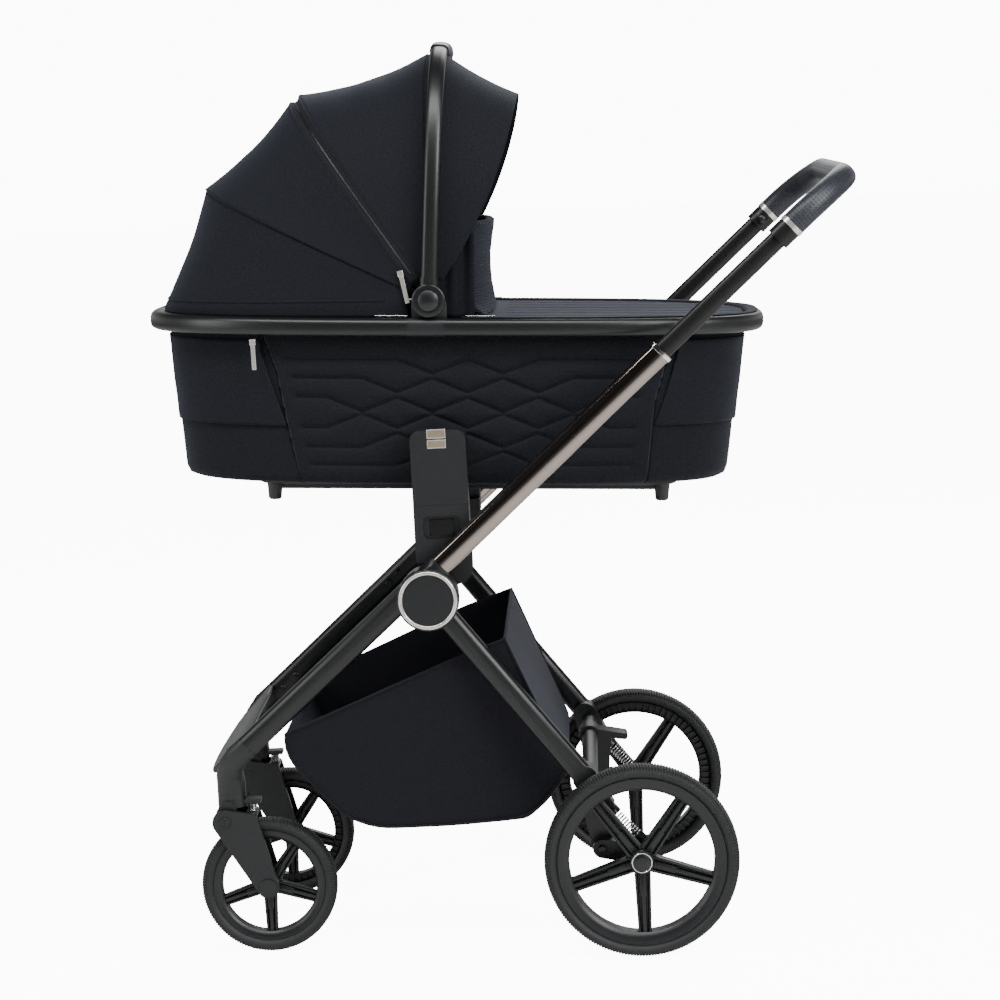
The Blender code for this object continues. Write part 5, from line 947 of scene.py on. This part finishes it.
# Each wheel's axle, track, tyre and moulding
WHEELS = (
    ("rear", REAR_AXLE, REAR_TRACK, (0.134, 0.042, 0.0175, 200),
     (0.1165, 0.017, 0.0319, (0.0165, -0.0281, 0.0200), 0.017, (0.0230, 0.0180), 72)),
    ("front", FRONT_AXLE, FRONT_TRACK, (0.0958, 0.035, 0.0165, 144),
     (0.0793, 0.0125, 0.0259, (0.0145, -0.0190, 0.0190), 0.013, (0.0185, 0.0150), 48)),
)
for side, word in SIDES:
    for end, axle, track, tyre, moulding in WHEELS:
        mid = track / 2
        centre = axle + Vector((0, side * mid, 0))
        body = f"{end}_wheel_{word}"
        piece = finish_piece(f"{end}_tyre_tread_{word}", tyre_shape(centre, side, *tyre), TYRE_RUBBER, body, 45)
        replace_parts(piece, f"{end}_tyre_{word}")
        shape = wheel_shape(centre, side, *moulding)
        piece = finish_piece(f"{end}_wheel_moulding_{word}", shape, WHEEL_PLASTIC, body, 35)
        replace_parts(piece, f"{end}_wheel_{word}")
        if end == "rear":
            ring = spun([(0.0125, 0.0185), (0.0143, 0.0185), (0.0143, 0.0207), (0.0138, 0.0212), (0.0130, 0.0212),
                         (0.0125, 0.0207)], centre, side, 64, True, mid=mid)
            finish_piece(f"rear_hub_ring_{word}", ring, CHROME, body, 40)
            cap = spun([(0, 0.0190), (0.0124, 0.0190), (0.0124, 0.0200), (0.0116, 0.0207), (0.006, 0.0211),
                        (0, 0.0212)], centre, side, 48, mid=mid)
            finish_piece(f"rear_hub_cap_{word}", cap, SMOOTH_NYLON, body, 40)

# Stuffed pieces: blown up as cloth with their seams held, so that the filling shows between them
def stuffed(shape, voxel, held, most, pressure=4.0):
    """A closed shape remeshed and blown up. held says how firmly a point is sewn, and none moves beyond most."""
    mesh = bpy.data.meshes.new("stuffing")
    shape.to_mesh(mesh)
    shape.free()
    piece = bpy.data.objects.new("stuffing", mesh)
    bpy.context.scene.collection.objects.link(piece)
    remesh = piece.modifiers.new("remesh", "REMESH")
    remesh.mode = "VOXEL"
    remesh.voxel_size = voxel
    even = bpy.data.meshes.new_from_object(piece.evaluated_get(bpy.context.evaluated_depsgraph_get()))
    piece.modifiers.clear()
    piece.data = even
    firm = piece.vertex_groups.new(name="sewn")
    for vert in even.vertices:
        weight = held(vert.co)
        if weight > 0:
            firm.add([vert.index], weight, "REPLACE")
    start = [vert.co.copy() for vert in even.vertices]
    cloth = piece.modifiers.new("cloth", "CLOTH")
    cloth.settings.vertex_group_mass = "sewn"
    cloth.settings.use_pressure = True
    cloth.settings.uniform_pressure_force = pressure
    cloth.settings.effector_weights.gravity = 0.0
    cloth.settings.quality = 4
    cloth.collision_settings.use_collision = False
    cloth.point_cache.frame_start = 1
    cloth.point_cache.frame_end = 20
    for moment in range(1, 21):
        bpy.context.scene.frame_set(moment)
    blown = bpy.data.meshes.new_from_object(piece.evaluated_get(bpy.context.evaluated_depsgraph_get()))
    for vert, begin in zip(blown.vertices, start):
        moved = vert.co - begin
        if moved.length > most:
            vert.co = begin + moved.normalized() * most
    piece.modifiers.clear()
    piece.data = blown
    bpy.context.scene.frame_set(1)
    result = bmesh.new()
    result.from_mesh(piece.data)
    bpy.data.objects.remove(piece)
    return result


def slab(columns, rows, place, pull):
    """A closed slab between a surface and its copy moved by pull."""
    shape = draped(columns, rows, place, (1.0, 1.0))
    bmesh.ops.remove_doubles(shape, verts=shape.verts, dist=1e-5)
    under = bmesh.ops.extrude_face_region(shape, geom=shape.faces[:], use_keep_orig=True)["geom"]
    bmesh.ops.translate(shape, verts=[v for v in under if isinstance(v, bmesh.types.BMVert)], vec=pull)
    bmesh.ops.recalc_face_normals(shape, faces=shape.faces)
    return shape


def in_cot(point):
    """A place as (along, across, up) from the middle of the rim."""
    c, s = math.cos(COT_TILT), math.sin(COT_TILT)
    off = point - COT_PLACE
    return off.x * c - off.z * s, off.y, off.x * s + off.z * c


UP_COT = Vector((math.sin(COT_TILT), 0, math.cos(COT_TILT)))

# Apron: seven stuffed channels run along it, inside the rim
APRON_U = (0.014, 0.4080)
APRON_HALF = 0.2015
CHANNELS = 7


def apron_half(u):
    """The apron's half width so far along it."""
    return APRON_HALF * max(0.02, 1 - (max(u, 0.0) / APRON_U[1]) ** 3.0) ** (1 / 3.0)


def apron_place(s, t):
    """A point of the apron's upper face before it is stuffed."""
    u = APRON_U[0] + (APRON_U[1] - APRON_U[0]) * math.sin(0.5 * math.pi * t)
    return cot_point(u, apron_half(u) * (2 * s - 1), 0.0115)


def channel_gap(u, v):
    """How far a place on the apron is from the nearest channel seam."""
    step = 2 * APRON_HALF / CHANNELS
    across = (v + APRON_HALF) / step
    return abs(across - round(across)) * step


def apron_held(point):
    """How firmly a point of the apron is sewn down."""
    u, v, w = in_cot(point)
    firm = channel_gap(u, v) < 0.0028 or u < 0.075 or w < 0.006
    return 1.0 if firm or abs(v) > apron_half(u) - 0.006 else 0.0


apron = stuffed(slab(60, 50, apron_place, UP_COT * -0.0095), 0.004, apron_held, 0.0028)
for vert in apron.verts:
    u, v, w = in_cot(vert.co)
    if w > 0.006 and u > 0.070:
        dip = 0.0022 * math.exp(-((channel_gap(u, v) / 0.0030) ** 2))
        gather = 0.0006 * noise.noise(Vector((u * 60, round(v * 17), 2.0))) * math.exp(-channel_gap(u, v) / 0.008)
        vert.co += UP_COT * (gather - dip)
apron_piece = finish_piece("apron_stuffed", apron, APRON_CLOTH, "carrycot", 80, levels=1)
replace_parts(apron_piece, "apron")


HEM_SIZE = (1.05, 0.017)


def hem_place(s, t):
    """The apron's bound edge, laid over the rim's inner shoulder from the near side round to the far side."""
    turn = (2 * s - 1) * math.acos(min(1.0, (APRON_U[0] / RIM_HALF[0]) ** 1.5))
    off = -0.0120 + 0.0165 * t
    u, v = plan_point(turn, half[0] + off, half[1] + off)
    lift = RIM_SECTION[1] / 2 * (1 - (abs(off) / (RIM_SECTION[0] / 2)) ** 3) ** (1 / 3)
    return cot_point(u, v, lift + 0.0004)


hem = draped(260, 6, hem_place, HEM_SIZE)
bmesh.ops.recalc_face_normals(hem, faces=hem.faces)
if sum(f.normal.z for f in hem.faces) < 0:
    bmesh.ops.reverse_faces(hem, faces=hem.faces)
hem_piece = finish_piece("apron_hem", hem, TAPE, "carrycot", 60, wall=0.0012, inward=False)
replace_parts(hem_piece, "apron")

# Wind flap: it stands on the apron's front edge, its middle bowed towards the foot end
FLAP_BASE, FLAP_TALL, FLAP_WIDE = 0.0150, 0.1275, 0.172


def flap_place(s, t):
    """A point of the flap's face towards the foot end before it is stuffed."""
    share = 2 * s - 1
    corner = max(0.0, abs(share) - 0.6) / 0.4
    tall = FLAP_TALL * (1 - 0.09 * corner ** 3)
    waist = 0.0095 * math.sin(math.pi * t) + 0.0030 * (t ** 4)
    flare = 0.0150 * max(0.0, 1 - t / 0.16) ** 2 * abs(share) ** 2
    u = 0.0560 - 0.0260 * abs(share) ** 2.5 - waist + flare
    return cot_point(u, FLAP_WIDE * share * (1 - 0.04 * t), FLAP_BASE + tall * t)


def flap_held(point):
    """How firmly a point of the flap is sewn down: along its foot, its ends and its top."""
    u, v, w = in_cot(point)
    firm = w < FLAP_BASE + 0.008 or w > FLAP_BASE + FLAP_TALL - 0.006
    return 1.0 if firm or abs(v) > FLAP_WIDE * 0.93 else 0.0


flap = stuffed(slab(60, 30, flap_place, Vector((-0.0125, 0, 0))), 0.004, flap_held, 0.0030)
flap_piece = finish_piece("apron_flap_stuffed", flap, FLAP_CLOTH, "carrycot", 80, levels=1)
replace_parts(flap_piece, "apron_flap")


# Its side wings: thin cloth, gathered in behind the hood at each end of the flap
WING_SIZE = (0.075, 0.128)
for side, word in SIDES:
    def wing_place(s, t, side=side):
        fold = 0.0045 * math.sin(s * 15) * (0.4 + 0.6 * t)
        return cot_point(-0.030 + 0.060 * s, side * (0.187 - 0.017 * s + fold), 0.0120 + (0.128 - 0.014 * s) * t)

    wing = draped(30, 24, wing_place, WING_SIZE)
    wing_piece = finish_piece(f"flap_wing_{word}", wing, HOOD_CLOTH, "carrycot", 80, wall=0.0016)

# Mattress: a crowned pad in a jersey cover
MATTRESS_LOW = -0.2140


def mattress_place(s, t):
    """A point of the mattress's crowned top before it is stuffed."""
    x, y = 2 * t - 1, 2 * s - 1
    bend = math.sin(0.5 * math.pi * x)
    across = max(0.02, 1 - abs(bend) ** 3.0) ** (1 / 3.0)
    crown = 0.0050 * (1 - x * x) * (1 - y * y)
    return cot_point(0.360 * bend, 0.177 * y * across, MATTRESS_LOW + 0.029 + crown)


def mattress_held(point):
    """How firmly a point of the mattress is held: by its underside alone."""
    return 1.0 if in_cot(point)[2] < MATTRESS_LOW + 0.010 else 0.0


mattress = stuffed(slab(40, 60, mattress_place, UP_COT * -0.027), 0.006, mattress_held, 0.0025, 2.0)
mattress_piece = finish_piece("mattress_stuffed", mattress, JERSEY, "carrycot", 80, levels=1)
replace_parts(mattress_piece, "mattress")

# Small metal and moulded pieces
for side, word in SIDES:
    low, high = (Vector(corner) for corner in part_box(f"hub_ring_{word}"))
    middle, radius = (low + high) / 2, (high.x - low.x) / 2
    near, far = sorted((abs(low.y), abs(high.y)))
    arc = [(radius - 0.0026 + 0.0026 * math.cos(turn), far - 0.0006 + 0.0020 * math.sin(turn))
           for turn in (math.pi * k / 10 for k in range(11))]
    ring = spun(arc + [(radius - 0.0052, near), (radius, near)], middle, side, 96, True)
    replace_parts(finish_piece(f"hub_trim_{word}", ring, NICKEL, "handle", 60), f"hub_ring_{word}")


def puller(name, top, bottom, y, body):
    """A zip puller: its slider and the long tab that hangs from it."""
    a, b = Vector((top[0], y, top[1])), Vector((bottom[0], y, bottom[1]))
    ahead = (b - a).normalized()
    turn, length = math.atan2(ahead.x, ahead.z) + math.pi, (b - a).length
    shape = bmesh.new()
    block((-0.0042, -0.0022, -0.0085), (0.0042, 0.0022, 0.0), 0.0010, 2, shape)
    block((-0.0030, -0.0009, -length), (0.0030, 0.0009, -0.0050), 0.0005, 2, shape)
    spin = Matrix.Translation(a) @ Matrix.Rotation(turn, 4, "Y")
    bmesh.ops.transform(shape, matrix=spin, verts=shape.verts)
    return finish_piece(name, shape, NICKEL, body, 20)


for side, word in SIDES:
    for number, (low, high) in enumerate(((0.7092, 0.7212), (0.7228, 0.7356))):
        clip = side_block(side, (-0.1040, -0.0781), (0.2385, 0.2403), (low, high), 0.0005)
        finish_piece(f"adapter_clip_{number}_{word}", clip, NICKEL, "carrycot", 12)
        # Painted reflection: each clip's inner pad is plated in nickel tinted tan
        pad = side_block(side, (-0.1026, -0.0795), (0.2395, 0.24045), (low + 0.0016, high - 0.0016), 0.0002, 1)
        finish_piece(f"adapter_clip_pad_{number}_{word}", pad, NICKEL_PAINTED_REFLECTION, "carrycot", 12)
    # The outer tube's end ring
    ring = run_along([along_handle(r, side, TUBE_Y) for r in (0.4584, 0.4588, 0.4636, 0.4640)],
                     oval_points(0.0237, 0.0352, 2.8, 32), HANDLE_UP, scales=[0.97, 1.0, 1.0, 0.97])
    finish_piece(f"tube_end_ring_{word}", ring, CHROME, "handle", 40)

head_top, head_low = cot_point(-0.274, 0, -0.0177), cot_point(-0.2716, 0, -0.0599)
puller("head_end_puller", (head_top.x, head_top.z), (head_low.x, head_low.z), -0.2010, "carrycot")
puller("hood_zip_puller", (-0.1301, 0.9516), (-0.1213, 0.9070), -0.2105, "carrycot")

# Base rail along each side, between the feet
for side, word in SIDES:
    path = [cot_point(u, side * 0.1248, -0.2285) for u in (-0.2516, -0.10, 0.10, 0.2904)]
    rail = run_along(path, oval_points(0.0090, 0.0080, 5.0, 24), UP_COT)
    finish_piece(f"base_rail_{word}", rail, NYLON, "carrycot", 40)

# Hem piping round the hood's foot, and the ends of its zip on the rim
hem_line = [rear_place(k / HOOP_COLUMNS, 0.80) for k in range(4, HOOP_COLUMNS - 3)]
hem_cord = run_along(hem_line, oval_points(0.0028, 0.0028, 2.0, 8), UP_COT)
finish_piece("hood_hem_piping", hem_cord, HOOD_CLOTH, "carrycot", 60)
for side, word in SIDES:
    for number, (low, high) in enumerate(((-0.1050, -0.0610), (0.0200, 0.0590))):
        path = [cot_point(low + (high - low) * k / 8, side * 0.2060, 0.0152) for k in range(9)]
        teeth = run_along(path, oval_points(0.0034, 0.0020, 2.0, 8), UP_COT)
        finish_piece(f"hood_zip_end_{number}_{word}", teeth, SPRING_WIRE, "carrycot", 60)

# Zip coil and piping along the hood's zip strip
for name, edge, thick, finish in (
    ("zip_piping_rear", ZIP_REAR, 0.0020, HOOD_CLOTH),
    ("zip_piping_front", ZIP_FRONT, 0.0020, HOOD_CLOTH),
    ("zip_coil", (ZIP_REAR[0], 0.3300, 0.0), 0.0016, ZIP_NYLON),
):
    path = [on_fan(*fan_line(edge, share, 0.0008)) for share in hoop_shares[2:-2]]
    across = Vector((math.cos(edge[0]), 0, -math.sin(edge[0])))
    cord = run_along(path, oval_points(2 * thick, 2 * thick, 2.0, 8), across)
    finish_piece(name, cord, finish, "hood_mid_bow", 60)


def screw(shape, centre, side, y, radius):
    """A round screw head with a round socket, facing out along Y."""
    spun([(radius * 0.45, 0.0012), (radius * 0.75, 0.0013), (radius, 0.0006), (radius, -0.002), (0, -0.002),
          (0, -0.0002), (radius * 0.42, -0.0002)], centre, side, 24, keep=shape, mid=y)


FORK_SCREW = Vector((-0.4173, 0, 0.1913))
FORK_FACE = 0.1942
screws = {body: bmesh.new() for body in ("chassis", "rear_frame", "castor_left", "castor_right")}
for side, word in SIDES:
    screw(screws["rear_frame"], Vector((0.109, 0, 0.1435)), side, 0.2487, 0.0060)
    # The arms' screws are on their inner faces
    for x, z, radius in (
        (-0.3432, 0.3290, 0.0040), (-0.3641, 0.3099, 0.0040), (-0.1819, 0.4777, 0.0034), (-0.1963, 0.4631, 0.0034),
    ):
        screw(screws["chassis"], Vector((x, 0, z)), -side, -0.1878, radius)
    spun([(0, -0.002), (0.0080, -0.002), (0.0080, 0.0008), (0.0074, 0.0014), (0.0062, 0.0014), (0.0060, 0.0004),
          (0, 0.0004)], FORK_SCREW, side, 48, keep=screws[f"castor_{word}"], mid=FORK_FACE)
    screw(screws[f"castor_{word}"], FORK_SCREW, side, FORK_FACE + 0.0004, 0.0044)
for word, shape in screws.items():
    finish_piece(f"screws_{word}", shape, SMOOTH_NYLON, word, 40)

# Shopping basket: a cloth tray, its side panels trapezoids that lean in towards the floor and draw in a little
# between their edges
BASKET_TOP = [(-0.3233, 0.3180), (-0.0830, 0.4158), (-0.0120, 0.4400)]
BASKET_LOW = [(-0.3233, 0.3180), (-0.3270, 0.2957), (-0.3134, 0.2667), (-0.2478, 0.1880), (-0.2025, 0.1693),
              (-0.1000, 0.1690), (0.0066, 0.1743), (0.0364, 0.2000), (0.0700, 0.2450), (-0.0120, 0.4400)]


def chain_point(chain, share):
    """A point at a share of a chain's length."""
    lengths = distances(chain)
    wanted = share * lengths[-1]
    for k in range(len(chain) - 1):
        if wanted <= lengths[k + 1] or k == len(chain) - 2:
            f = (wanted - lengths[k]) / (lengths[k + 1] - lengths[k])
            return tuple(a + (b - a) * f for a, b in zip(chain[k], chain[k + 1]))


def basket_half(z):
    """The basket's half width at a height: it narrows towards its floor."""
    return 0.2268 * (0.80 + 0.20 * min(1.0, (z - 0.1693) / (0.400 - 0.1693)))


def basket_place(s, t):
    """s runs from the near lip over the floor to the far lip, t from front to back."""
    high, low = chain_point(BASKET_TOP, t), chain_point(BASKET_LOW, t)
    wall = 0.30
    along = min(s, 1 - s) / wall
    if along < 1:
        x, z = high[0] + (low[0] - high[0]) * along, high[1] + (low[1] - high[1]) * along
        y = basket_half(z) - 0.004 * math.sin(math.pi * along) * math.sin(math.pi * t)
        return Vector((x, (-1 if s < 0.5 else 1) * y, z))
    across = (s - wall) / (1 - 2 * wall) * 2 - 1
    return Vector((low[0], basket_half(low[1]) * across, low[1]))


basket = draped(150, 120, basket_place, (0.95, 0.75))
inner_verts = [v for v in basket.verts if not v.is_boundary]
for _ in range(6):
    bmesh.ops.smooth_vert(basket, verts=inner_verts, factor=0.5, use_axis_x=True, use_axis_y=True, use_axis_z=True)
bmesh.ops.recalc_face_normals(basket, faces=basket.faces)
if sum(f.normal.z for f in basket.faces if f.calc_center_median().z < 0.18 and abs(f.normal.z) > 0.7) > 0:
    bmesh.ops.reverse_faces(basket, faces=basket.faces)
basket_piece = finish_piece("basket_cloth", basket, BASKET_CLOTH, "chassis", 60, wall=0.0025)
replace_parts(basket_piece, "basket")
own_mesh(basket_piece)
for name, line in (
    ("lip_left", [basket_place(0.0, k / 60) for k in range(61)]),
    ("lip_right", [basket_place(1.0, k / 60) for k in range(61)]),
    ("corner_left", [basket_place(0.295, k / 60) for k in range(61)]),
    ("corner_right", [basket_place(0.705, k / 60) for k in range(61)]),
    ("back", [basket_place(0.30 + 0.40 * k / 30, 1.0) for k in range(31)]),
):
    for _ in range(3):
        line[1:-1] = [(a + 2 * b + c) / 4 for a, b, c in zip(line, line[1:], line[2:])]
    cord = run_along(line, oval_points(0.0036, 0.0036, 2.0, 10), Vector((0, 0.3, 1)))
    bound = finish_piece(f"basket_piping_{name}", cord, TAPE, "chassis", 60)
    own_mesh(bound)


# Springs
def coil_shape(start, end, radius, wire, curls):
    """A wound spring between two seats, its turns evenly spaced."""
    ahead = (end - start).normalized()
    across = ahead.cross(Vector((0, 1, 0))).normalized()
    other = across.cross(ahead)
    total = curls * 20
    length = (end - start).length - 2 * wire
    path, tops = [], []
    for k in range(total + 1):
        share = k / total
        turn = 2 * math.pi * curls * share
        out = across * math.cos(turn) + other * math.sin(turn)
        path.append(start + ahead * (wire + length * share) + out * radius)
        tops.append(out)
    return run_along(path, oval_points(2 * wire, 2 * wire, 2.0, 8), tops)


for side, word in SIDES:
    start, end = (p + Vector((0, side * 0.2340, 0)) for p in REAR_SPRING)
    coil = coil_shape(start, end, 0.0078, 0.0010, 9)
    piece = finish_piece(f"rear_coil_{word}", coil, SPRING_WIRE, "rear_frame", 60)
    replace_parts(piece, f"rear_spring_{word}")
    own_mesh(piece)
    low = Vector((-0.380, side * FRONT_TRACK / 2, 0.2015))
    high = low + Vector((0, 0, 0.013))
    coil = coil_shape(high, low, 0.0056, 0.0009, 5)
    piece = finish_piece(f"front_coil_{word}", coil, SPRING_WIRE, f"castor_{word}", 60)
    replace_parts(piece, f"front_spring_{word}")
    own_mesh(piece)

# Carried-over solids and their finishes
FINISHES = {
    "front_arm": COATED, "front_crosspiece": STUDDED_NYLON, "adapter_socket": NYLON, "release_button": GLOSS_ABS,
    "castor_block": NYLON, "front_fork": NYLON, "hub_cover": SMOOTH_NYLON, "hub_ring": CHROME,
    "outer_tube": BLACK_CHROME, "handle_bar": ANODISED, "grip_ring": NICKEL, "handle_button": SMOOTH_NYLON,
    "rear_leg": COATED, "rear_crossbar": COATED, "brake_pedal": NYLON, "rear_arm": NYLON, "carrycot_post": NYLON,
    "floor_board": NYLON, "pivot_button": SMOOTH_NYLON, "hood_bow_rear": ANODISED, "hood_bow_mid": ANODISED,
}
for name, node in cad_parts.items():
    finish = FINISHES.get(name) or FINISHES.get(name.rsplit("_", 1)[0])
    if finish:
        node.data.materials.clear()
        node.data.materials.append(finish)
        node.data.shade_smooth()
        node.modifiers.new("weld", "WELD").merge_threshold = 0.00002
        node.modifiers.new("edges", "EDGE_SPLIT").split_angle = math.radians(48)

# Floor, light and air
shape = bmesh.new()
bmesh.ops.create_grid(shape, x_segments=1, y_segments=1, size=30.0)
finish_piece("studio_floor", shape, FLOOR, None)

world = bpy.data.worlds.new("studio")
world.use_nodes = True
tree = world.node_tree
x, y, z = add_node(tree, "SeparateXYZ", {0: add_node(tree, "TexCoord").outputs["Generated"]}).outputs
# Bright near the floor and behind, dim overhead and before the pram, as in a studio with a lit backdrop
glow = maths(tree, "MULTIPLY", ranged(tree, z, 0.02, 0.50, 0.90, 0.08), ranged(tree, y, -0.95, 0.10, 0.04, 1.0))
set_node(tree, node_of(tree, "BACKGROUND"), {
    "Color": colour_of("#fcfcfd"), "Strength": maths(tree, "ADD", glow, seen_only(tree, BACKDROP)),
})
bpy.context.scene.world = world
for name, place, size, power in (
    ("key", (3.0, -2.8, 2.7), (2.2, 2.2), 180.0),
    ("fill", (-3.4, -2.0, 1.8), (1.6, 2.4), 60.0),
    ("back", (0.6, 3.4, 3.2), (2.4, 2.4), 90.0),
    ("overhead", (-0.3, -1.7, 3.3), (3.6, 0.7), 110.0),
):
    light = bpy.data.lights.new(name, "AREA")
    light.shape = "RECTANGLE"
    light.size, light.size_y = size
    light.energy = power
    lamp = bpy.data.objects.new(name, light)
    aim = (Vector((0, 0, 0.7)) - Vector(place)).to_track_quat("-Z", "Y")
    lamp.matrix_world = Matrix.Translation(place) @ aim.to_matrix().to_4x4()
    bpy.context.scene.collection.objects.link(lamp)
